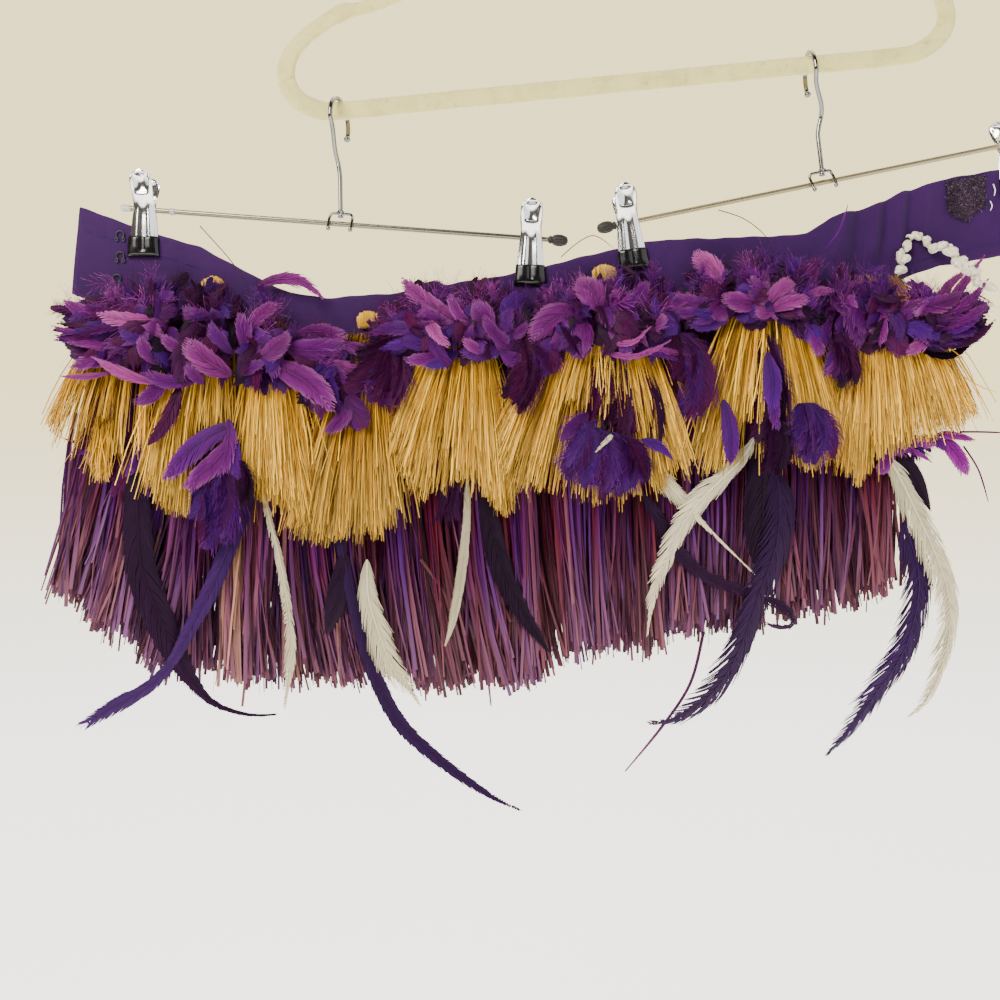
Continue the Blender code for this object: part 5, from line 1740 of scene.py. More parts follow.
TUFTS = (
    Tuft("plume_tuft_1", ("plume_1",), (
        Quill(-299.1, -471.6, -308.9, -501.3, 11.0, 0.22, 0.6),
        Quill(-321.0, -465.2, -342.4, -463.2, 4.0, 0.24, 1.0, 0.1, Kind.BLADE),
        Quill(-319.1, -469.1, -333.4, -484.5, 4.0, 0.22, 1.0, 0.1, Kind.BLADE),
        Quill(-315.9, -467.8, -337.3, -472.8, 4.0, 0.5, 1.2, 0.1, Kind.BLADE),
        Quill(-308.1, -471.6, -326.9, -476.7, 7.0, 0.66, 1.2, 0.1),
        Quill(-292.7, -465.2, -301.1, -489.6, 9.0, 0.5, 0.9, 0.1),
    ), (Quill(-304.3, -470.4, -311.4, -490.9, 9.0, 0.2),), copies=4, seed=51),
    Tuft("plume_tuft_2", ("plume_2",), (
        Quill(-228.3, -454.9, -271.4, -490.9, 17.0, 0.50, 1.4, -0.08, Kind.BROAD),
        Quill(-227.0, -462.6, -259.8, -494.8, 13.0, 0.66, 1.8, 0.08, Kind.BROAD),
        Quill(-232.2, -452.3, -237.8, -489.6, 12.0, 0.58, 1.6, 0.1),
        Quill(-234.7, -474.9, -254.6, -498.7, 10.0, 0.60, 2.0, -0.1),
        Quill(-225.7, -465.2, -224.3, -490.9, 10.0, 0.46, 1.4, -0.1),
    ), (Quill(-241.2, -476.8, -248.2, -516.8, 17.0, 0.41), Quill(-234.7, -479.4, -235.2, -527.1, 17.0, 0.36),
        Quill(-247.6, -491.0, -246.9, -532.9, 13.0, 0.42), Quill(-227.0, -478.1, -223.6, -510.3, 14.0, 0.14)),
        copies=10, seed=52, sink=1.0),
    Tuft("plume_tuft_3", ("plume_3",), (
        Quill(-95.0, -468.4, -104.1, -487.0, 9.0, 0.54, 1.2, 0.08),
        Quill(-89.2, -471.6, -94.5, -507.1, 12.0, 0.22, 0.8, 0.05),
        Quill(-82.8, -476.8, -85.4, -516.8, 10.0, 0.12, 0.6, -0.05),
    ), (Quill(-90.5, -474.9, -91.9, -513.5, 14.0, 0.14),), copies=7, seed=53),
    Tuft("plume_tuft_4", ("plume_4",), (
        Quill(-1.8, -448.6, -19.7, -467.8, 13.0, 0.54, 1.6, -0.1, Kind.DOWN, 1.0),
        Quill(31.6, -465.3, 52.5, -479.4, 9.0, 0.44, 1.6, 0.1, Kind.BLADE, 0.9),
        Quill(3.4, -452.5, -15.8, -484.5, 14.0, 0.46, 1.4, -0.08, Kind.DOWN, 1.0),
    ), (Quill(-5.6, -452.5, -15.8, -487.1, 18.0, 0.44), Quill(2.1, -457.6, -2.9, -493.5, 19.0, 0.43),
        Quill(9.8, -460.2, 10.0, -498.7, 19.0, 0.41), Quill(17.5, -462.7, 22.8, -497.4, 18.0, 0.39),
        Quill(23.9, -465.3, 31.9, -488.4, 14.0, 0.3)), copies=10, seed=54, sink=0.95),
    Tuft("plume_tuft_5", ("plume_5",), (
        Quill(84.7, -439.4, 88.3, -481.9, 11.0, 0.36, 1.5, 0.04, Kind.BROAD),
        Quill(113.8, -408.8, 113.0, -447.2, 12.0, 0.44, 2.2, 0.06, Kind.BROAD),
        Quill(118.9, -421.7, 118.2, -460.1, 10.0, 0.50, 2.0, -0.06),
    ), (Quill(134.9, -442.0, 129.0, -467.7, 16.0, 0.42), Quill(138.8, -442.0, 139.3, -478.0, 18.0, 0.41),
        Quill(142.6, -445.9, 149.7, -472.8, 16.0, 0.38), Quill(115.6, -452.3, 114.8, -484.5, 15.0, 0.08)),
        copies=9, seed=55, sink=0.9),
    Tuft("plume_tuft_6", ("plume_6",), (
        Quill(178.7, -458.8, 203.3, -475.4, 10.0, 0.56, 1.0, 0.05),
        Quill(199.3, -463.9, 223.3, -469.0, 9.0, 0.80, 1.4, 0.05),
        Quill(196.1, -469.1, 184.5, -487.0, 10.0, 0.66, 1.2, 0.08, Kind.BROAD),
        Quill(227.6, -462.6, 242.7, -488.3, 12.0, 0.72, 1.4, 0.06, Kind.BROAD, 1.5),
        Quill(223.8, -461.3, 247.8, -465.1, 8.0, 0.78, 1.6, 0.06, Kind.LEAF, 1.5),
        Quill(215.4, -461.3, 231.0, -472.8, 8.0, 0.52, 1.0),
        Quill(186.4, -465.2, 219.4, -479.3, 8.0, 0.70, 1.2, 0.06, Kind.BLADE),
    ), (Quill(202.5, -462.6, 214.2, -472.8, 10.0, 0.4),), copies=5, seed=56),
    Tuft("plum_down_4", (), (), (
        Quill(4.1, -409.6, 0.3, -452.9, 15.0, 0.24), Quill(13.0, -409.6, 13.0, -463.1, 16.0, 0.2),
        Quill(21.9, -412.2, 27.0, -465.7, 15.0, 0.28), Quill(30.8, -414.7, 38.5, -466.9, 13.0, 0.18),
    ), copies=6, seed=60, sink=0.54),
    Tuft("plum_down_5", (), (), (
        Quill(113.6, -395.6, 112.3, -435.1, 13.0, 0.26), Quill(117.4, -408.4, 119.9, -456.1, 13.0, 0.2),
        Quill(111.0, -427.5, 109.7, -465.7, 12.0, 0.14),
    ), copies=6, seed=61, sink=0.54),
    Tuft("plum_down_1", (), (), (
        Quill(-132.1, -392.5, -142.3, -422.4, 18.0, 0.27), Quill(-128.3, -402.0, -135.9, -438.9, 18.0, 0.22),
        Quill(-125.1, -395.6, -152.5, -409.6, 18.0, 0.12), Quill(-129.6, -407.1, -142.3, -438.9, 18.0, 0.28),
        Quill(-132.1, -402.0, -156.3, -430.0, 18.0, 0.16), Quill(-124.5, -407.1, -130.9, -442.7, 16.0, 0.3),
    ), copies=9, seed=57, sink=1.15),
    Tuft("plum_down_2", (), (), (
        Quill(-42.4, -395.6, -40.5, -432.6, 18.0, 0.27), Quill(-37.9, -402.0, -49.4, -441.5, 17.0, 0.2),
        Quill(-32.8, -402.0, -25.2, -419.8, 15.0, 0.28), Quill(-44.3, -405.8, -45.6, -442.7, 15.0, 0.3),
    ), copies=9, seed=58, sink=1.1),
    Tuft("plum_down_3", (), (), (
        Quill(57.6, -395.6, 60.1, -427.5, 18.0, 0.24), Quill(62.6, -398.8, 63.9, -447.8, 17.0, 0.28),
        Quill(58.8, -405.8, 67.1, -442.7, 13.0, 0.3), Quill(161.9, -402.0, 163.2, -430.0, 15.0, 0.2),
        Quill(158.1, -396.9, 156.8, -422.4, 16.0, 0.3),
    ), copies=9, seed=59, sink=1.1),
)


@dataclass
class LongFeather:
    """A single long feather along rows of x, z and width."""

    name: str
    nodes: tuple[str, ...]
    rows: tuple[Triple, ...]
    dark: bool
    lift: float = 0.0
    kind: Kind = Kind.TAIL
    tint: float = 0.5
    tilt: float = 0.0
    twist: float = 0.0
    seed: int = 71

    def build(self, finishes: Finishes) -> Piece:
        """Makes the feather.

        Args:
            finishes: the materials.

        Returns:
            The piece.
        """
        path = smooth_path(self.rows, 6)
        share = np.linspace(0.0, 1.0, len(path))
        y = Layers.fringe_front(path[:, 0], path[:, 1]) - 1.4 - self.lift * ease(share / 0.2)
        spine = spots(path[:, 0], y, path[:, 1])
        batch = MeshBatch()
        plumage = Plumage(batch, np.random.default_rng(self.seed))
        plumage.grow(spine, path[:, 2], self.kind, self.tint, 1.0, self.tilt, self.twist)
        if self.dark:
            return batch.build(self.name, [finishes.dark], "feather_dark", self.nodes)
        return batch.build(self.name, [finishes.cream], "feather_cream", self.nodes)


LONG_FEATHERS = (
    LongFeather("dark_tail_1", ("dark_feather_1",), (
        (-295.9, -479.4, 15.0), (-292.7, -511.6, 20.0), (-290.1, -545.1, 21.5), (-281.1, -570.8, 21.5),
        (-270.1, -595.9, 19.0), (-260.5, -613.3, 13.0), (-243.7, -633.3, 5.0), (-219.9, -641.6, 2.8),
        (-202.5, -641.6, 1.9)),
        dark=True, lift=0.5, tint=0.4, tilt=0.2, twist=0.5, seed=71),
    LongFeather("dark_tail_2", ("dark_feather_2",), (
        (-217.5, -479.4, 8.0), (-223.3, -507.1, 11.0), (-234.2, -536.6, 12.5), (-245.1, -563.6, 12.5),
        (-258.3, -588.7, 9.5), (-269.5, -609.4, 8.0), (-283.0, -623.6, 8.5), (-298.5, -632.6, 11.0),
        (-313.3, -641.0, 13.5), (-327.5, -650.0, 12.0)),
        dark=True, lift=2.6, tint=0.7, tilt=-0.1, twist=0.3, seed=72),
    LongFeather("dark_tail_3", ("dark_feather_3",), (
        (-167.1, -503.8, 6.4), (-159.4, -542.5, 7.7), (-149.1, -586.9, 8.4), (-139.4, -614.6, 10.3),
        (-129.8, -635.8, 10.3), (-118.2, -652.6, 10.3), (-101.4, -667.4, 9.0), (-82.1, -682.2, 7.1),
        (-62.2, -695.1, 5.1), (-44.1, -703.5, 1.9)),
        dark=True, lift=0.4, tint=0.55, tilt=0.1, twist=0.4, seed=73),
    LongFeather("dark_tail_4", ("dark_feather_4",), (
        (120.5, -483.1, 16.7), (122.4, -503.8, 25.7), (119.4, -532.8, 27.0), (107.8, -564.4, 21.9),
        (98.2, -592.1, 20.6), (86.6, -616.5, 21.0), (71.8, -633.3, 20.0), (51.8, -644.9, 14.0),
        (35.1, -646.8, 6.0)),
        dark=True, lift=2.6, kind=Kind.SPLAYED, twist=0.5, seed=74),
    LongFeather("dark_tail_5", ("dark_feather_5",), (
        (33.7, -497.4, 10.3), (45.4, -518.0, 11.6), (60.2, -541.2, 11.6), (78.2, -554.7, 10.3),
        (98.2, -562.4, 9.0), (117.5, -568.9, 8.7), (131.0, -579.2, 7.0), (126.0, -586.5, 5.0),
        (115.0, -584.0, 3.0)),
        dark=True, lift=0.6, kind=Kind.SPLAYED, tint=0.4, tilt=0.1, twist=0.3, seed=75),
    LongFeather("dark_tail_6", ("dark_feather_6",), (
        (201.9, -518.0, 15.4), (208.3, -538.0, 21.9), (211.5, -554.7, 23.2), (208.3, -579.2, 20.6),
        (199.9, -603.7, 20.6), (185.1, -624.9, 19.3), (168.4, -648.1, 15.4), (151.0, -668.0, 3.9)),
        dark=True, lift=0.4, kind=Kind.SPLAYED, tint=0.6, twist=0.4, seed=76),
    LongFeather("dark_tail_7", (), (
        (-68.7, -490.9, 11.0), (-63.5, -523.3, 16.0), (-57.0, -545.9, 18.0), (-45.3, -571.8, 16.0),
        (-32.4, -593.2, 10.0), (-26.6, -602.3, 4.0)),
        dark=True, lift=0.6, tint=0.12, tilt=0.2, twist=0.4, seed=77),
    LongFeather("dark_tail_8", (), (
        (-158.7, -537.5, 10.0), (-161.9, -562.1, 16.0), (-165.8, -578.3, 15.0), (-171.0, -591.9, 6.0)),
        dark=True, lift=1.0, tint=0.3, tilt=0.1, twist=0.3, seed=78),
    LongFeather("dark_tail_9", (), (
        (114.3, -465.2, 18.0), (111.7, -503.8, 26.0), (110.4, -536.0, 22.0), (115.6, -561.8, 8.0)),
        dark=True, lift=1.2, tint=0.18, tilt=0.1, twist=0.3, seed=79),
    LongFeather("dark_tail_10", (), (
        (200.0, -472.8, 12.0), (210.4, -489.6, 15.0), (216.8, -503.8, 9.0), (219.4, -511.6, 3.0)),
        dark=True, lift=0.6, tint=0.2, tilt=0.1, twist=0.3, seed=80),
    LongFeather("cream_tail_1", ("cream_feather_1",), (
        (-213.7, -493.5, 3.9), (-207.7, -516.7, 5.8), (-200.6, -542.5, 6.4), (-196.1, -566.3, 7.7),
        (-192.9, -590.8, 9.0), (-192.9, -610.7, 9.0), (-196.7, -636.5, 3.2)),
        dark=False, lift=1.2, kind=Kind.SPLAYED, tilt=0.5, twist=0.3, seed=81),
    LongFeather("cream_tail_2", ("cream_feather_2",), (
        (-144.6, -542.5, 9.0), (-143.3, -565.7, 14.2), (-136.9, -587.6, 18.0), (-127.2, -612.0, 18.0),
        (-116.2, -624.9, 10.3), (-109.8, -635.8, 3.2)),
        dark=False, lift=2.8, kind=Kind.SPLAYED, tilt=0.1, twist=0.5, seed=82),
    LongFeather("cream_tail_3", ("cream_feather_3",), (
        (-79.7, -487.0, 5.8), (-79.0, -507.7, 6.4), (-80.2, -529.6, 7.7), (-83.4, -557.3, 9.0),
        (-88.6, -583.7, 7.7), (-93.7, -597.9, 3.2)),
        dark=False, lift=1.2, tint=0.4, tilt=0.6, twist=0.2, seed=83),
    LongFeather("cream_tail_4", ("cream_feather_4",), (
        (23.3, -466.3, 8.0), (39.5, -481.8, 13.5), (60.9, -505.1, 12.0), (73.1, -519.3, 3.2),
        (104.6, -550.8, 1.2)),
        dark=False, lift=1.6, kind=Kind.SPLAYED, tint=0.45, tilt=0.1, twist=0.2, seed=84),
    LongFeather("cream_tail_7", (), (
        (15.1, -460.8, 1.6), (11.3, -464.6, 4.6), (6.3, -469.7, 5.0), (2.5, -473.5, 1.6)),
        dark=False, lift=17.0, kind=Kind.BLADE, tint=0.4, twist=0.2, seed=87),
    LongFeather("cream_tail_5", ("cream_feather_5",), (
        (108.8, -459.8, 6.0), (98.4, -477.3, 11.6), (72.5, -501.9, 16.7), (60.2, -518.0, 16.7),
        (50.5, -538.0, 14.2), (42.2, -557.9, 11.6), (38.3, -576.0, 5.1), (36.4, -588.8, 1.9)),
        dark=False, lift=2.8, kind=Kind.SPLAYED, tint=0.6, tilt=0.1, twist=0.4, seed=85),
    LongFeather("cream_tail_6", ("cream_feather_6",), (
        (190.4, -472.8, 6.4), (196.2, -483.1, 12.9), (206.0, -505.1, 19.3), (218.0, -531.5, 21.9),
        (227.6, -557.9, 21.9), (230.2, -582.4, 19.3), (224.4, -612.0, 16.7), (213.5, -633.9, 11.6),
        (203.2, -642.9, 3.2)),
        dark=False, lift=2.8, kind=Kind.SPLAYED, twist=0.6, seed=86),
)


# ------------------------------------------------------------------ threads, shells and stray fibres


@dataclass
class ShellStrand:
    """Small shells threaded on a cotton thread and laid over the band."""

    name: str
    nodes: tuple[str, ...]
    path: tuple[Pair, ...]
    pitch: float
    seed: int
    first: float = 0.0
    thread: float = 1.2

    def build(self, finishes: Finishes) -> None:
        """Makes the thread and its shells.

        Args:
            finishes: the materials.
        """
        rng = np.random.default_rng(self.seed)
        flat = smooth_path(self.path, 8)
        seat = Layers.band(flat[:, 0], flat[:, 1]) - 0.5 * Layers.BAND_WALL
        bulge = np.where(Layers.band_top(flat[:, 0]) - flat[:, 1] > 46.0, Layers.fan_front(*flat.T), seat)
        line = spots(flat[:, 0], np.minimum(seat, bulge) - 3.4, flat[:, 1])
        shells = MeshBatch()
        length = np.linalg.norm(np.diff(line, axis=0), axis=1).sum()
        count = int(length / self.pitch)
        places = even(line, (np.arange(count) + 0.5) / count)
        before, after = (even(line, (np.arange(count) + offset) / count) for offset in (0.1, 0.9))
        hidden = int(self.first * count)
        for place, way in zip(places[hidden:], unit(after - before)[hidden:]):
            self._shell(shells, rng, place, way)
        piece = shells.build(f"{self.name}_shells", [finishes.shell], "shell", self.nodes)
        curve = bpy.data.curves.new(f"{self.name}_thread", "CURVE")
        curve.dimensions = "3D"
        curve.bevel_depth = 0.5 * self.thread * MM
        curve.bevel_resolution = 2
        spline = curve.splines.new("POLY")
        spline.points.add(len(line) - 1)
        for point, spot in zip(spline.points, line * MM):
            point.co = (*spot, 1.0)
        curve.materials.append(finishes.pale_thread)
        thread = bpy.data.objects.new(curve.name, curve)
        bpy.context.scene.collection.objects.link(thread)
        settle(thread, "shell", ())

    def _shell(self, batch: MeshBatch, rng: Dice, place: Array, way: Array) -> None:
        """Adds one lumpy pointed shell that leans off the thread.

        Args:
            batch: what it is added to.
            rng: the dice.
            place: where the thread passes it.
            way: the thread's way.
        """
        out = np.array((-way[2], 0.0, way[0])) * rng.choice((-1.0, 1.0))
        lean = way * rng.choice((-1.0, 1.0)) + out * rng.uniform(0.1, 0.5)
        lean = unit(lean + FRONT * rng.uniform(-0.2, 0.4))
        length = rng.uniform(8.5, 10.8)
        share = np.linspace(0.0, 1.0, 21)
        path = place + lean * (share[:, None] - 0.42) * length + out * 0.5 + FRONT * 0.4
        path = path + out * (0.5 * np.sin(share * 17.0))[:, None]
        radius = np.interp(share, (0.0, 0.08, 0.26, 0.5, 0.8, 1.0), (0.5, 1.7, 2.9, 2.5, 1.2, 0.25))
        radius = radius * rng.uniform(0.88, 1.12)
        radius = radius * (1.0 + 0.12 * np.cos(share * 30.0 + rng.uniform(0.0, 6.0)))
        batch.bar(path, radius, 12)


@dataclass
class LooseFibres:
    """Stray straws, threads and quills that stand off the skirt."""

    name: str
    slot: str
    finish: str
    lines: tuple[tuple[Pair, ...], ...]
    depth: float
    width: float = 0.8
    tint: float = 0.5
    knots: int = 25

    def build(self, finishes: Finishes) -> Piece:
        """Makes them.

        Args:
            finishes: the materials.

        Returns:
            The piece.
        """
        batch = MeshBatch()
        for number, line in enumerate(self.lines):
            share, vary = np.linspace(0.0, 1.0, self.knots), number % 3 - 1
            flat = even(smooth_path(line, 8), share)
            middle = spots(flat[:, 0], np.full(self.knots, -self.depth), flat[:, 1])[None]
            thin = np.interp(share, (0.0, 0.7, 1.0), (1.0, 0.9, 0.4))
            half = ribbon_sides(middle, self.width * thin[None], np.full((1, self.knots), 0.3 * vary))
            crown = np.cross(half, unit(np.gradient(middle, axis=1))) * 0.8
            batch.strips(middle, half, np.array([self.tint + 0.1 * vary]), np.array([1.0]), crown)
        return batch.build(self.name, [getattr(finishes, self.finish)], self.slot)


# ------------------------------------------------------------------ hangers and clips


@dataclass
class FlockedHanger:
    """Flocked hanger of one loop of flat bar, hung by a wire hook.

    Half of the loop, from the middle of the bar up to the neck, and the neck itself are rows
    of x, z and height of the bar.
    """

    tilt: float = math.radians(5.57)
    height: float = 226.0
    thick: float = 5.5
    bend: float = 21.0
    wire: float = 2.0
    sides: int = 20
    half: tuple[Triple, ...] = (
        (60.0, 0.0, 12.0), (130.0, 0.0, 12.0), (188.0, 0.0, 12.0), (203.0, 2.5, 12.5), (214.0, 9.0, 12.5),
        (221.0, 19.0, 12.5), (221.5, 31.0, 12.0), (215.5, 43.0, 11.0), (205.0, 52.5, 10.5),
        (192.0, 60.0, 10.5), (180.0, 65.5, 12.0), (172.0, 66.3, 9.0), (160.0, 68.5, 9.5),
        (140.0, 75.0, 11.0), (100.0, 90.0, 11.0), (60.0, 105.5, 11.0), (25.0, 119.0, 12.0),
        (9.0, 125.0, 15.0),
    )
    neck: Triple = (0.0, 127.0, 16.0)

    def place(self, points: Array) -> Array:
        """Puts points of the hanger's own frame in the skirt's.

        Args:
            points: any shape, with x, y, z last.

        Returns:
            The points, in the same shape.
        """
        x, y, z = points[..., 0], points[..., 1], points[..., 2] - self.height
        turn = self.tilt
        return spots(x * math.cos(turn) - z * math.sin(turn), y, x * math.sin(turn) + z * math.cos(turn))

    def build(self, finishes: Finishes) -> None:
        """Makes the loop and the hook.

        Args:
            finishes: the materials.
        """
        left = [(-x, z, height) for x, z, height in reversed(self.half)]
        loop = smooth_path([*self.half, self.neck, *left], 6, closed=True)
        ahead = unit(np.roll(loop[:, :2], -1, axis=0) - np.roll(loop[:, :2], 1, axis=0))
        outward = np.stack([ahead[:, 1], -ahead[:, 0]], axis=1)
        turn = np.linspace(0.0, TURN, self.sides, endpoint=False)
        flat = np.sign(np.cos(turn)) * np.abs(np.cos(turn)) ** 0.55 * 0.5
        deep = np.sign(np.sin(turn)) * np.abs(np.sin(turn)) ** 0.8 * 0.5 * self.thick
        rings = np.zeros((1, len(loop), self.sides, 3))
        rings[0, :, :, 0] = loop[:, :1] + outward[:, :1] * flat * loop[:, 2:]
        rings[0, :, :, 1] = deep
        rings[0, :, :, 2] = loop[:, 1:2] + outward[:, 1:] * flat * loop[:, 2:]
        rings = np.concatenate([rings, rings[:, :1]], axis=1)
        batch = MeshBatch()
        batch.skinned = True
        batch.lattice(self.place(rings), ring=True)
        batch.build("flocked_hanger", [finishes.flock], "flock", ("velvet_hanger",))
        centre = self.height + self.wire - self.bend
        angle = np.radians(np.linspace(205.0, -55.0, 33))
        rows = [(self.bend * math.cos(a), 0.0, centre + self.bend * math.sin(a)) for a in angle]
        rows += [(4.5, 0.0, 181.5), (0.8, 0.0, 173.0), (0.0, 0.0, 160.0),
                 (0.0, 0.0, self.neck[1] + 0.5 * self.neck[2] - 1.0)]
        wire = smooth_path(rows, 3)
        radius = np.full(len(wire), self.wire)
        radius[:4] *= (0.4, 0.8, 0.95, 1.0)
        hook = MeshBatch()
        hook.bar(self.place(wire), radius, 14)
        collar = np.array([(0.0, 0.0, self.neck[1] + offset) for offset in (4.5, 5.0, 8.5, 9.5, 10.5)])
        hook.bar(self.place(collar), np.array((3.0, 3.8, 3.8, 3.2, 2.1)), 16)
        hook.build("flocked_hanger_hook", [finishes.chrome], "chrome", ("velvet_hanger_hook",))


CAP_SHARE = np.array((0.0, 0.02, 0.07, 0.16, 0.28, 0.5, 0.72, 0.79, 0.8, 0.83, 0.88, 0.98, 1.0))
CAP_RADIUS = np.array((0.05, 1.4, 2.5, 3.2, 3.5, 3.5, 3.4, 3.0, 2.4, 2.3, 2.7, 2.5, 1.8))
RIB_OUT = np.array((3.2, 3.5, 3.55, 3.55, 3.45, 3.2))
RIB_RADIUS = np.array((0.1, 0.4, 0.45, 0.45, 0.4, 0.1))


@dataclass
class ClipHanger:
    """Wire rod with capped ends, a swivelling hook and the yoke that joins them."""

    name: str
    rod: tuple[float, float, float, float]
    left_cap: bool
    foot: Pair
    crown: Pair
    turn: float
    warm: bool
    kink: float
    radius: float = 1.75
    wire: float = 1.5
    bend: float = 15.0
    cap_length: float = 13.0
    cap_hold: float = 10.0
    ribs: int = 8
    yoke_reach: float = 7.7

    def build(self, finishes: Finishes) -> None:
        """Makes the rod, its caps, the hook and the yoke.

        Args:
            finishes: the materials.
        """
        left_x, left_z, right_x, right_z = self.rod
        start, end = np.array((left_x, 0.0, left_z)), np.array((right_x, 0.0, right_z))
        way = unit(end - start)
        self._rod(finishes, start, end, way)
        self._hook(finishes)
        self._yoke(finishes, way)

    def _rod(self, finishes: Finishes, start: Array, end: Array, way: Array) -> None:
        """Adds the rod and its caps.

        Args:
            finishes: the materials.
            start: left end.
            end: right end.
            way: from left to right.
        """
        batch = MeshBatch()
        first = start + way * (self.cap_hold if self.left_cap else 0.0)
        batch.bar(np.linspace(first, end - way * self.cap_hold, 40), self.radius, 16)
        metal = finishes.warm_rod if self.warm else finishes.dull_chrome
        batch.build(f"{self.name}_rod_wire", [metal], "chrome", (f"{self.name}_rod",))
        ends = [(end, -way)] + ([(start, way)] if self.left_cap else [])
        for number, (tip, inward) in enumerate(ends, 1):
            cap = MeshBatch()
            cap.bar(tip + inward * (CAP_SHARE * self.cap_length)[:, None], CAP_RADIUS, 24)
            for ridge in range(self.ribs):
                angle = TURN * ridge / self.ribs
                side = np.array((0.0, math.cos(angle), 0.0)) + np.cross(way, (0.0, math.sin(angle), 0.0))
                rib = tip + inward * np.linspace(2.6, 9.6, 6)[:, None] + side * RIB_OUT[:, None]
                cap.bar(rib, RIB_RADIUS, 6)
            cap.build(f"{self.name}_rod_cap_{number}", [finishes.cap], "vinyl",
                      (f"{self.name}_rod_tip_{number}",))
        if not self.left_cap:
            sleeve = MeshBatch()
            sleeve.bar(start + way * np.array((-0.6, 0.0, 2.6, 5.4, 6.0))[:, None],
                       np.array((1.2, 2.3, 2.45, 2.3, 1.8)), 20)
            inner = start + way * np.array((32.4, 32.8, 35.2, 35.8))[:, None]
            sleeve.bar(inner, np.array((1.9, 2.6, 2.6, 1.9)), 20)
            sleeve.build(f"{self.name}_rod_ferrules", [finishes.clear], "chrome", ())

    def _hook(self, finishes: Finishes) -> None:
        """Adds the hook with its ball tip.

        Args:
            finishes: the materials.
        """
        turn = math.radians(self.turn)
        centre = self.crown[1] - self.bend
        foot_x, foot_z = self.foot
        rows = [(0.0, foot_z - 1.5), (0.0, foot_z + 14.0), (0.0, centre - 30.0), (1.0, centre - 26.0),
                (9.0, centre - 12.0), (12.6, centre - 5.0)]
        rows += [(self.bend * math.cos(a), centre + self.bend * math.sin(a))
                 for a in np.radians(np.linspace(-4.0, 210.0, 19))]
        flat = smooth_path(rows, 4)
        share = (flat[:, 1] - foot_z) / (self.crown[1] - foot_z)
        x = foot_x + (self.crown[0] - foot_x) * share
        x = x + self.kink * np.sin(math.pi * held((share - 0.3) / 0.42)) ** 2
        path = spots(x - math.sin(turn) * flat[:, 0], -math.cos(turn) * flat[:, 0], flat[:, 1])
        batch = MeshBatch()
        batch.bar(path, self.wire, 16)
        ball = path[-1] + unit(path[-1] - path[-3]) * np.linspace(-2.0, 2.2, 11)[:, None]
        batch.bar(ball, 2.25 * dome(-0.96, 0.99, 11), 16)
        collar = np.array([(foot_x, 0.0, foot_z + offset) for offset in (-3.0, -2.4, -1.6, 0.8, 1.4, 2.4)])
        batch.bar(collar, np.array((1.0, 2.3, 1.5, 1.5, 2.5, 1.7)), 16)
        batch.build(f"{self.name}_hook_wire", [finishes.hook_chrome], "chrome", (f"{self.name}_hook",))

    def _yoke(self, finishes: Finishes, way: Array) -> None:
        """Adds the wire yoke that the rod swings in.

        Args:
            finishes: the materials.
            way: the rod's way.
        """
        left_x, left_z, right_x, right_z = self.rod
        up = np.array((-way[2], 0.0, way[0]))
        level = np.interp(self.foot[0], (left_x, right_x), (left_z, right_z))
        middle = np.array((self.foot[0], 0.0, level))
        rise = self.foot[1] - middle[2]
        reach = self.yoke_reach
        leg = [(-reach + 0.4, -4.6, -4.4), (-reach, -3.9, -2.7), (-reach, -2.7, 0.0), (-reach, -1.2, 3.0),
               (-reach + 0.2, 0.0, rise - 2.4), (-reach + 0.9, 0.0, rise - 0.6), (-reach + 2.6, 0.0, rise)]
        rows = leg + [(0.0, 0.0, rise)] + [(-a, b, c) for a, b, c in reversed(leg)]
        flat = smooth_path(rows, 4)
        path = middle + flat[:, :1] * way + flat[:, 1:2] * BACK + flat[:, 2:] * up
        batch = MeshBatch()
        batch.bar(path, 1.0, 12)
        for tip in (path[0], path[-1]):
            ball = tip + UP * np.linspace(-1.5, 1.5, 9)[:, None]
            batch.bar(ball, 1.5 * dome(-0.98, 0.98, 9), 12)
        batch.build(f"{self.name}_yoke", [finishes.hook_chrome], "chrome", ())


HANGERS = (
    ClipHanger("left", (-311.6, -308.2, -12.7, -330.3), False, (-165.0, -312.0), (-166.2, -235.4),
               turn=15.0, warm=False, kink=-1.5),
    ClipHanger("right", (6.7, -322.3, 304.0, -261.1), True, (157.5, -284.0), (148.1, -204.7),
               turn=3.0, warm=True, kink=4.0),
)


@dataclass(frozen=True)
class ClipFrame:
    """A clip's own frame, by its top and its ways across and down."""

    top: Array
    side: Array
    down: Array

    def world(self, across: Array, drop: Array, out: Array) -> Array:
        """Points in the skirt's frame.

        Args:
            across: distance sideways.
            drop: distance below the top.
            out: distance towards the back.

        Returns:
            The points, in the shape that the three share.
        """
        across, drop, out = (np.asarray(part)[..., None] for part in np.broadcast_arrays(across, drop, out))
        return self.top + across * self.side + drop * self.down + out * BACK


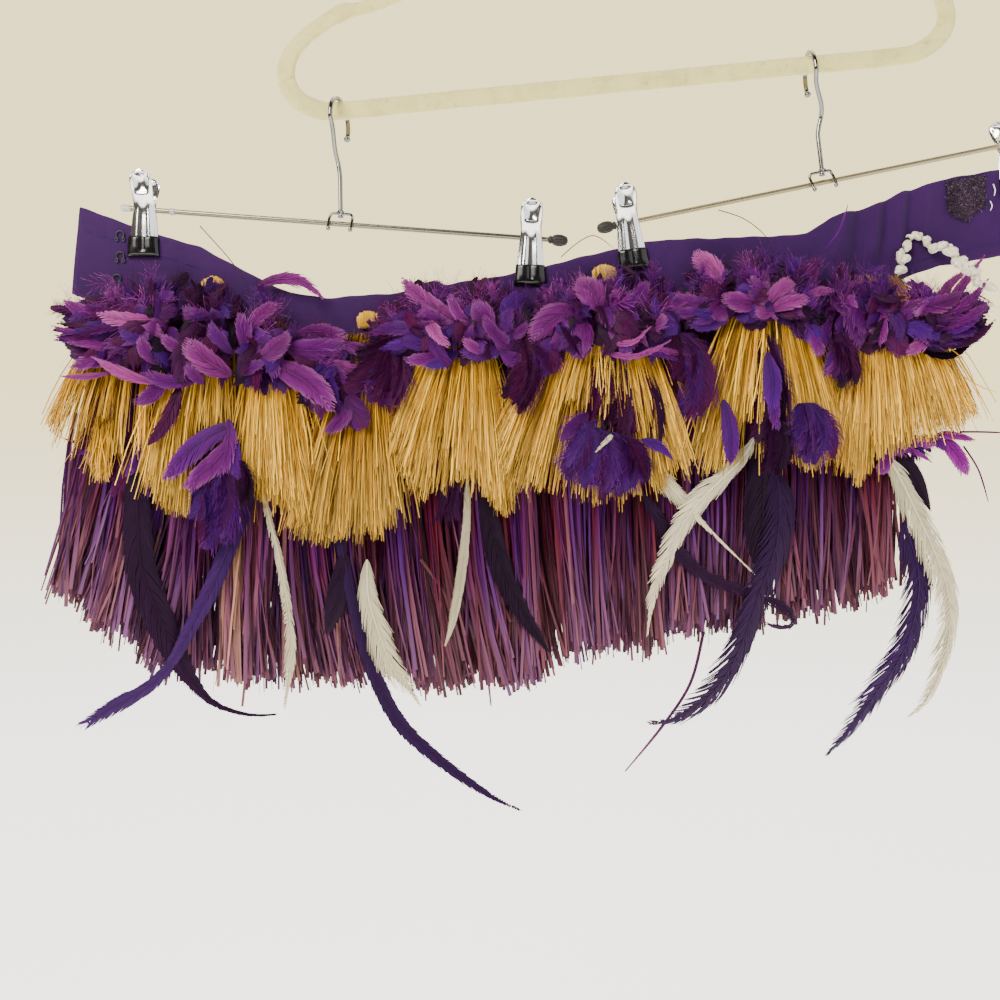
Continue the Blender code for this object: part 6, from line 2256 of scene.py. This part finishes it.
@dataclass
class Clip:
    """Sprung clip of two pressed leaves with dipped feet."""

    place: ClipPlace
    length: float = 56.0
    boot: float = 43.0
    head: float = 7.3
    down: tuple[float, ...] = (0.0, 2.5, 7.0, 14.0, 21.0, 25.0, 34.0, 42.4, 56.0)
    inside: tuple[float, ...] = (11.2, 11.4, 10.6, 6.8, 2.6, 1.85, 1.85, 1.7, 1.5)
    width_down: tuple[float, ...] = (7.3, 11.0, 17.0, 22.0, 30.0, 43.0, 56.0)
    widths: tuple[float, ...] = (14.7, 14.5, 13.6, 14.2, 16.0, 18.6, 20.2)
    pad_top: float = 2.6
    pad_long: float = 12.6
    pad_wide: float = 6.0
    pad_deep: float = 4.6
    spring: tuple[Pair, ...] = ((-6.6, 13.4), (-4.6, 16.8), (-2.6, 19.6), (0.0, 20.9), (2.6, 19.6),
                                (4.6, 16.8), (6.6, 13.4))

    def build(self, finishes: Finishes) -> None:
        """Makes the clip's steel and its feet.

        Args:
            finishes: the materials.
        """
        top = np.array((self.place.top_x, 0.0, self.place.top_z))
        down = unit(np.array((self.place.low_x, 0.0, self.place.low_z)) - top)
        frame = ClipFrame(top, np.array((-down[2], 0.0, down[0])), down)
        steel, boots = MeshBatch(), MeshBatch()
        for facing in (-1.0, 1.0):
            self._leaf(steel, facing, frame)
            self._boot(boots, facing, frame)
        self._spring(steel, frame)
        name = self.place.name
        steel.build(f"{name}_steel", [finishes.chrome], "chrome", (f"{name}_front", f"{name}_back"))
        boots.build(f"{name}_boots", [finishes.vinyl], "vinyl", ())

    def _width(self, drop: Array) -> Array:
        """Width of a leaf, round at the head."""
        head = self.widths[0] * np.sqrt(held(1.0 - (1.0 - drop / 7.35) ** 2))
        return np.where(drop < self.head, head, np.interp(drop, self.width_down, self.widths))

    def _inside(self, drop: Array) -> Array:
        """Inner face of a leaf, with its bends rounded."""
        shifts = np.linspace(-2.4, 2.4, 9)
        return sum(np.interp(drop + shift, self.down, self.inside) for shift in shifts) / len(shifts)

    def _press(self, across: Array, drop: Array, width: Array) -> Array:
        """How far the pressing stands out of the flat leaf.

        Args:
            across: distance sideways.
            drop: distance below the top.
            width: width of the leaf there.

        Returns:
            Height of the pressing.
        """
        along = held((drop - self.pad_top) / self.pad_long)
        body = held(1.0 - (across / self.pad_wide) ** 2)
        dimple = -2.6 * self.pad_deep * along**0.5 * (1.0 - along) * body
        spread = 2.0 * across / np.maximum(width, 1.0)
        edge = -1.4 * np.abs(spread) ** 5 - 0.35 * spread**2
        flute = sum(np.exp(-((across - place * width / 15.0) / (0.085 * width)) ** 2)
                    for place in (-3.5, 3.5))
        flute = 1.25 * flute * ease((drop - 18.0) / 9.0)
        waist = 0.6 * np.exp(-((drop - 20.0) / 3.5) ** 2) * np.exp(-(across / 3.0) ** 2)
        return dimple + edge + flute + waist

    def _leaf(self, batch: MeshBatch, facing: float, frame: ClipFrame) -> None:
        """Adds one leaf with its side flanges.

        Args:
            batch: what it is added to.
            facing: -1 for the front leaf, 1 for the back one.
            frame: the clip's frame.
        """
        head = self.head * (1.0 - np.cos(np.linspace(0.08, 0.5 * math.pi, 14)))
        drop = np.concatenate([head, np.arange(8.3, 44.2, 1.15)])
        share = np.sin(np.linspace(-0.5, 0.5, 23) * math.pi) * 0.5
        width = self._width(drop)
        across = share[None, :] * width[:, None]
        inside = self._inside(drop)[:, None]
        press = self._press(across, drop[:, None], width[:, None])
        outer = frame.world(across, drop[:, None], facing * (inside + 1.0 + press))
        inner = frame.world(across * 0.985, drop[:, None], facing * (inside + 0.2 + press))
        batch.plate(outer, inner)
        rows = np.linspace(15.5, 42.5, 28)
        reach = np.interp(rows, (15.5, 19.0, 23.0, 27.0, 33.0, 42.5), (0.3, 3.0, 4.6, 3.4, 1.2, 0.9))
        for hand in (-1.0, 1.0):
            edge = hand * (0.5 * np.interp(rows, drop, width) - 0.35)
            level = self._inside(rows) - 0.3
            steps = np.linspace(0.0, 1.0, 5)[None, :]
            out = facing * (level[:, None] - np.minimum(reach, level + 1.2)[:, None] * steps)
            flange = frame.world(edge[:, None], rows[:, None], out)
            batch.plate(flange, frame.world(edge[:, None] - hand * 0.7, rows[:, None], out))

    def _boot(self, batch: MeshBatch, facing: float, frame: ClipFrame) -> None:
        """Adds the dipped foot of one leaf.

        Args:
            batch: what it is added to.
            facing: -1 for the front leaf, 1 for the back one.
            frame: the clip's frame.
        """
        drop = np.linspace(self.boot - 0.5, self.length, 22)
        share = np.sin(np.linspace(-0.5, 0.5, 25) * math.pi)
        width = np.interp(drop, (42.5, self.length), (19.4, 21.4))
        across = share[None, :] * 0.5 * width[:, None]
        down = drop[:, None]
        low = held((down - 52.5) / 3.5) ** 3
        high = held((44.2 - down) / 1.7) ** 2
        side = np.abs(share[None, :]) ** 7
        groove = 0.9 * np.exp(-(across / 0.9) ** 2) * ease((53.5 - down) / 2.0)
        humps = 0.5 * sum(np.exp(-((across - place) / 1.9) ** 2) for place in (-4.6, 4.6))
        humps = humps * ease((54.0 - down) / 4.0)
        out = 1.5 + 3.6 * (1.0 - 0.45 * low) * (1.0 - 0.6 * side) * (1.0 - 0.25 * high) - groove + humps
        batch.plate(frame.world(across, down, facing * out), frame.world(across, down, facing * 1.45))

    def _spring(self, batch: MeshBatch, frame: ClipFrame) -> None:
        """Adds the bent strip spring between the leaves.

        Args:
            batch: what it is added to.
            frame: the clip's frame.
        """
        line = smooth_path(self.spring, 4)
        way = unit(np.gradient(line, axis=0))
        second = line + np.stack([-way[:, 1], way[:, 0]], axis=1) * 0.6
        across = np.linspace(-3.6, 3.6, 5)[None, :]
        batch.plate(*(frame.world(across, rows[:, 1:], rows[:, :1]) for rows in (line, second)))


# ------------------------------------------------------------------ waistband


@dataclass
class Waistband:
    """Folded cotton band with its stitching and fastenings.

    A stitch line has its drop, start and end. The patch has rows of x and z of its upper and
    lower edge. Each eye and each hook has its x and z.
    """

    step: float = 3.0
    rows: int = 30
    casing: float = 14.0
    lines: tuple[Triple, ...] = ((14.0, -336.0, -258.0), (49.5, 205.0, 328.0), (50.5, -336.0, -270.0))
    seam_x: float = -240.6
    stitch: float = 2.5
    stitch_pitch: float = 3.3
    patch_rows: tuple[tuple[float, ...], ...] = (
        (239.9, -292.0, 241.2, -310.9), (252.6, -288.6, 252.6, -317.6), (265.3, -287.4, 266.0, -306.2))
    patch_loops: int = 1700
    patch_seed: int = 101
    eyes: tuple[Pair, ...] = ((-312.2, -327.0), (-312.2, -341.0), (-314.4, -356.0))
    hooks: tuple[Pair, ...] = ((318.0, -286.0), (319.0, -302.0), (320.0, -318.0))

    def surface(self, x: Array, share: Array, face: float) -> Array:
        """Points of the band's front or back.

        Args:
            x: across the skirt.
            share: share of the height, from the upper edge.
            face: -1 for the front, 1 for the back.

        Returns:
            The points.
        """
        height = Layers.BAND_HEIGHT
        rim = held((np.abs(share - 0.5) - 0.455) / 0.045)
        half = 0.5 * Layers.BAND_WALL * np.sqrt(1.0 - 0.93 * rim**2)
        lean = -5.4 * share * ease((-290.0 - x) / 50.0)
        edge = 0.45 * np.sin(x / 7.7) * np.sin(x / 23.0 + 1.0) + 0.25 * np.sin(x / 3.1)
        z = Layers.band_top(x) - share * height + edge * (share * 2.0 - 1.0)
        pucker = 0.35 * np.sin(x / 1.9 + 3.0 * np.sin(x / 17.0))
        pucker = pucker * np.exp(-((share * height - self.casing) / 2.6) ** 2)
        pucker = pucker * ease((-244.0 - x) / 14.0)
        crease = 0.55 * np.sin(x / 9.5 + share * 4.0 + 2.0 * np.sin(x / 41.0))
        crease = crease * np.sin(x / 33.0 + share * 2.2)
        apart = np.min([np.hypot((x - clip.low_x) / 16.0, (share * height - 12.0) / 24.0)
                        for clip in CLIP_PLACES], axis=0)
        calm = ease((apart - 0.8) / 0.5)
        thin = np.where(share * height < self.casing, 1.0, 0.9)
        y = Layers.band(x, z) + (pucker + crease) * calm + face * half * (calm * 0.1 + 0.9) * thin
        return spots(x + lean, y, z)

    def build(self, finishes: Finishes) -> Piece:
        """Makes the band as one closed shell.

        Args:
            finishes: the materials.

        Returns:
            The piece.
        """
        x = np.arange(BAND_EDGE[0, 0], BAND_EDGE[-1, 0] + 0.1, self.step)
        turn = np.linspace(0.0, math.pi, self.rows)
        share = 0.5 - 0.5 * np.cos(turn)
        grid_x, grid_share = np.meshgrid(x, share, indexing="ij")
        batch = MeshBatch()
        batch.plate(self.surface(grid_x, grid_share, -1.0), self.surface(grid_x, grid_share, 1.0))
        return batch.build("cotton_waistband", [finishes.cotton], "cotton", ("waistband",))

    def stitches(self, finishes: Finishes) -> Piece:
        """Makes the stitch lines on both faces.

        Args:
            finishes: the materials.

        Returns:
            The piece.
        """
        batch = MeshBatch()
        share = np.linspace(0.0, 1.0, 4)[None, :]
        for drop, start, end in self.lines:
            first = np.arange(start, end, self.stitch_pitch)[:, None]
            along = first + self.stitch * share
            down = (drop + 0.25 * np.sin(along / 11.0)) / Layers.BAND_HEIGHT
            for face in (-1.0, 1.0):
                middle = self.surface(along, down, face)
                middle[..., 1] += face * (0.12 + 0.25 * np.sin(math.pi * share))
                half = np.zeros_like(middle)
                half[..., 2] = 0.36
                crown = np.zeros_like(middle)
                crown[..., 1] = face * 0.3
                batch.strips(middle, half, 0.3, np.full(len(first), 1.0), crown)
        seam = np.linspace(16.0, 57.0, 14)[None, :]
        middle = self.surface(self.seam_x + 0.4 * np.sin(seam / 5.0), seam / Layers.BAND_HEIGHT, -1.0)
        middle[..., 1] -= 0.2
        half = np.zeros_like(middle)
        half[..., 0] = 0.45
        batch.strips(middle, half, 0.0, np.array([0.6]))
        return batch.build("band_stitching", [finishes.thread], "cotton", ())

    def patch(self, finishes: Finishes) -> Piece:
        """Makes the worn loop half of the hook-and-loop fastener.

        Args:
            finishes: the materials.

        Returns:
            The piece.
        """
        rng = np.random.default_rng(self.patch_seed)
        rows = np.array(self.patch_rows)
        across, down = np.meshgrid(np.linspace(0.0, 2.0, 21), np.linspace(0.0, 1.0, 17), indexing="ij")
        columns = [np.interp(across, (0.0, 1.0, 2.0), column) for column in rows.T]
        ragged = 0.7 * np.sin(across * 9.0) * (down - 0.5) * 2.0
        x = columns[0] + (columns[2] - columns[0]) * down
        z = columns[1] + (columns[3] - columns[1]) * down + ragged
        base = Layers.band(x, z) - 0.5 * Layers.BAND_WALL - 0.15
        lump = 0.25 * np.sin(x * 1.3) * np.cos(z * 1.1)
        batch = MeshBatch()
        batch.plate(spots(x, base - 0.9 + lump, z), spots(x, base, z))
        batch.skinned = False
        count = self.patch_loops
        pick_across, pick_down = rng.uniform(-0.05, 2.05, count), rng.uniform(-0.04, 1.04, count)
        columns = [np.interp(pick_across, (0.0, 1.0, 2.0), column) for column in rows.T]
        root_x = columns[0] + (columns[2] - columns[0]) * pick_down
        root_z = columns[1] + (columns[3] - columns[1]) * pick_down
        share = np.linspace(0.0, 1.0, 4)[None, :]
        aim = rng.uniform(0.0, TURN, (count, 1))
        reach = rng.uniform(0.8, 2.4, (count, 1))
        x = root_x[:, None] + reach * np.cos(aim) * share
        z = root_z[:, None] + reach * np.sin(aim) * share
        seat = Layers.band(x, z) - 0.5 * Layers.BAND_WALL - 1.0
        y = seat - rng.uniform(0.2, 1.1, (count, 1)) * np.sin(math.pi * share * 0.8)
        middle = spots(x, y, z)
        half = ribbon_sides(middle, np.full(share.shape, 0.2) * np.ones((count, 1)), np.zeros((count, 4)))
        batch.strips(middle, half, rng.random(count) ** 2, rng.uniform(0.6, 1.3, count))
        return batch.build("fastener_patch", [finishes.fleece], "fuzz", ("hook_loop_patch",))

    def fastenings(self, finishes: Finishes) -> list[Piece]:
        """Makes the wire eyes in front and the wire hooks behind.

        Args:
            finishes: the materials.

        Returns:
            The six pieces.
        """
        made = []
        for number, (x, z) in enumerate(self.eyes, 1):
            batch = MeshBatch()
            y = float(Layers.band(np.array(x), np.array(z))) - 0.5 * Layers.BAND_WALL - 0.7
            gap, size = 0.9, 2.6
            angle = np.radians(np.linspace(-52.0, 232.0, 20))
            ring = [(x + size * math.cos(a), y, z + size * math.sin(a) + 0.4) for a in angle]
            feet = []
            for hand in (-1.0, 1.0):
                turn = np.linspace(0.0, TURN, 9)
                feet.append([(x + hand * (gap + 0.5 + 0.9 * (1.0 - math.cos(t))), y - 0.02 * t,
                              z - 2.7 - 0.9 * math.sin(t)) for t in turn])
            path = [*reversed(feet[0]), *reversed(ring), *feet[1]]
            batch.bar(smooth_path(path, 2), 0.48, 10)
            made.append(batch.build(f"wire_eye_{number}", [finishes.wire], "black_wire", (f"eye_{number}",)))
        for number, (x, z) in enumerate(self.hooks, 1):
            batch = MeshBatch()
            y = float(Layers.band(np.array(x), np.array(z))) + 0.5 * Layers.BAND_WALL + 0.7
            rows = ((x - 6.0, y, z), (x, y, z), (x + 1.2, y + 0.9, z), (x, y + 1.8, z),
                    (x - 3.4, y + 1.7, z))
            batch.bar(smooth_path(rows, 6), 0.5, 10)
            for hand in (-1.0, 1.0):
                turn = np.linspace(0.0, TURN, 13)
                loop = [(x - 6.0 - 1.2 * math.cos(t), y, z + hand * 1.3 + 1.2 * math.sin(t))
                        for t in turn[:-1]]
                batch.bar(np.array(loop), 0.4, 8, closed=True)
            made.append(batch.build(f"wire_hook_{number}", [finishes.wire], "black_wire",
                                    (f"hook_{number}",)))
        return made


# ------------------------------------------------------------------ studio


class Sky(Board):
    """The world's node tree."""

    def __init__(self) -> None:
        """Makes the world with its background."""
        world = bpy.data.worlds.new("room")
        world.use_nodes = True
        bpy.context.scene.world = world
        self.tree = world.node_tree
        self.shader = self.tree.nodes["Background"]

    def paint(self, upper: Colour, lower: Colour, front: Colour, strength: float) -> None:
        """Feeds the background.

        Args:
            upper: colour of the wall behind the skirt, above the horizon.
            lower: its colour below the horizon.
            front: colour of the room in front of the skirt.
            strength: its brightness.
        """
        way = self.node("ShaderNodeTexCoord", output="Generated")
        rise, depth = self.part(way, 2), self.part(way, 1)
        wall = self.mix(self.step(rise, -0.30, 0.12), lower, upper)
        colour = self.mix(self.step(depth, -0.1, 0.6), front, wall)
        self.feed(self.shader.inputs["Color"], colour)
        self.shader.inputs["Strength"].default_value = strength


class Lamp(NamedTuple):
    """A soft square light."""

    name: str
    place: Triple
    size: float
    power: float
    colour: Colour


@dataclass
class Studio:
    """Floor, lights, room and camera, in metres."""

    eye: Triple = (-0.0583, -0.720, -0.5038)
    lens: float = 38.69
    aim: Triple = (0.0, 0.0, -0.42)
    floor_z: float = -1.35
    floor_reach: float = 5.0
    upper: Colour = (216, 200, 151)
    lower: Colour = (255, 254, 252)
    front: Colour = (46, 42, 40)
    sky: float = 3.3
    lamps: tuple[Lamp, ...] = (
        Lamp("key", (-1.1, -1.5, 0.75), 1.3, 84.0, (1.0, 0.97, 0.93)),
        Lamp("fill", (1.7, -1.1, 0.0), 2.2, 26.0, (0.95, 0.97, 1.0)),
        Lamp("crown", (0.2, 0.5, 1.3), 1.6, 22.0, (1.0, 0.98, 0.95)),
    )

    def build(self) -> None:
        """Makes them all."""
        self._camera()
        self._floor()
        Sky().paint(linear(*self.upper), linear(*self.lower), linear(*self.front), self.sky)
        for lamp in self.lamps:
            self._light(lamp)

    def _camera(self) -> None:
        """Makes the camera."""
        data = bpy.data.cameras.new("camera")
        data.lens = self.lens
        data.clip_start = 0.01
        camera = bpy.data.objects.new("camera", data)
        camera.location = self.eye
        camera.rotation_euler = (math.radians(90.0), 0.0, 0.0)
        bpy.context.scene.collection.objects.link(camera)
        bpy.context.scene.camera = camera

    def _floor(self) -> None:
        """Makes a round floor that fades out at its rim."""
        work = bmesh.new()
        bmesh.ops.create_circle(work, cap_ends=True, segments=96, radius=self.floor_reach)
        mesh = bpy.data.meshes.new("floor")
        work.to_mesh(mesh)
        work.free()
        board = Board("pale_floor")
        place = board.place()
        reach = board.node("ShaderNodeVectorMath", {"operation": "LENGTH"}, {0: place}, "Value")
        fade = board.step(reach, self.floor_reach * 0.3, self.floor_reach * 0.98)
        grain = board.noise(place, 3.0, 3.0)
        colour = board.lighten(board.pack(*linear(206, 206, 208)), grain * 0.05 + 0.97)
        mesh.materials.append(board.dress(base_color=colour, roughness=0.7, alpha=1.0 - fade,
                                          emission_color=linear(*self.lower), emission_strength=2.5))
        floor = bpy.data.objects.new("floor", mesh)
        floor.location = (0.0, 0.0, self.floor_z)
        bpy.context.scene.collection.objects.link(floor)

    def _light(self, lamp: Lamp) -> None:
        """Makes a light aimed at the middle of the skirt.

        Args:
            lamp: its sizes.
        """
        data = bpy.data.lights.new(lamp.name, "AREA")
        data.size = lamp.size
        data.energy = lamp.power
        data.color = lamp.colour
        light = bpy.data.objects.new(lamp.name, data)
        light.location = lamp.place
        way = Vector(self.aim) - Vector(lamp.place)
        light.rotation_euler = way.to_track_quat("-Z", "Y").to_euler()
        bpy.context.scene.collection.objects.link(light)


# ------------------------------------------------------------------ the whole piece


SHELL_STRANDS = (
    ShellStrand("shell_strand_1", ("shell_string",), (
        (200.0, -358.2), (203.9, -351.6), (207.2, -344.4), (210.5, -337.8), (214.5, -331.9), (219.7, -327.9),
        (225.7, -331.2), (230.3, -337.8), (235.5, -345.1), (240.2, -352.3), (244.8, -358.9), (252.7, -364.2),
        (261.9, -368.1)), pitch=8.4, seed=91),
    ShellStrand("shell_strand_2", (), (
        (221.1, -329.9), (227.6, -332.5), (233.6, -338.5), (240.2, -345.7), (246.1, -353.0),
        (252.7, -358.9)), pitch=8.2, seed=92, first=0.3),
)

STRAYS = (
    LooseFibres("stray_loop", "fuzz", "fleece",
                (((-17.5, -341.5), (-7.5, -332.8), (1.8, -327.5), (8.5, -328.8), (17.9, -336.1)),
                 ((87.4, -310.1), (104.7, -316.1), (118.8, -327.5), (124.8, -340.8)),
                 ((-258.7, -320.8), (-237.4, -344.8), (-224.0, -364.9))), depth=2.4, width=0.7, tint=0.3),
    LooseFibres("stray_quills", "feather_violet", "violet", (
        ((153.3, -340.9), (163.8, -327.8), (170.3, -310.0)),
        ((192.1, -358.2), (205.2, -362.2), (217.1, -367.5)),
        ((235.5, -372.1), (254.7, -369.4), (265.9, -375.4)),
    ), depth=14.0, width=1.2, tint=0.6),
    LooseFibres("bare_quills", "feather_violet", "violet", (
        ((236.6, -460.1), (250.8, -460.1), (267.5, -460.7)),
        ((239.2, -469.1), (248.9, -484.5), (255.3, -505.1)),
    ), depth=30.0, width=1.3, tint=0.3),
    LooseFibres("stray_threads", "fuzz", "pale_strand", (
        ((271.1, -292.7), (272.4, -296.7), (271.8, -300.7)),
        ((269.1, -304.1), (270.4, -307.4), (269.1, -310.7)),
    ), depth=2.2, width=0.8, tint=0.5),
    LooseFibres("stray_straws", "fibre", "fibre", (
        ((224.8, -404.2), (238.7, -416.3), (249.5, -443.5)),
        ((233.6, -422.6), (247.6, -430.9), (259.0, -435.3)),
    ), depth=34.0, width=0.7, tint=0.6),
    LooseFibres("stray_raffia", "raffia", "raffia", (
        ((-330.3, -494.8), (-336.8, -507.1), (-345.2, -522.0)),
        ((-326.4, -498.7), (-334.2, -523.3), (-340.7, -542.7)),
        ((-339.4, -529.7), (-343.3, -549.2), (-345.9, -571.2)),
        ((187.8, -472.8), (196.2, -490.9), (204.0, -516.8)),
    ), depth=20.0, width=0.6, tint=0.3),
    LooseFibres("long_strips", "raffia", "raffia", (
        ((74.0, -589.0), (65.5, -622.4), (47.2, -650.6), (22.9, -680.1)),
        ((-77.8, -568.8), (-68.7, -601.3), (-64.1, -637.6)),
        ((-109.7, -542.4), (-93.1, -568.2), (-89.3, -600.7)),
    ), depth=22.0, width=2.1, tint=0.66),
)


def main() -> None:
    """Builds the skirt on its hangers, and the studio."""
    finishes = Finishes()
    for holder in (FlockedHanger(), *HANGERS, *(Clip(place) for place in CLIP_PLACES)):
        holder.build(finishes)
    band = Waistband()
    cloth = band.build(finishes)
    dressing = [band.stitches(finishes), band.patch(finishes), *band.fastenings(finishes)]
    dressing += [run.build(finishes) for run in RUNS]
    for part in (*TASSELS, *TUFTS, *LONG_FEATHERS, *BUNCHES, *SHELL_STRANDS, *STRAYS):
        part.build(finishes)
    Studio().build()


if __name__ == "__main__":
    logging.basicConfig(level=logging.INFO, format="%(message)s")
    main()
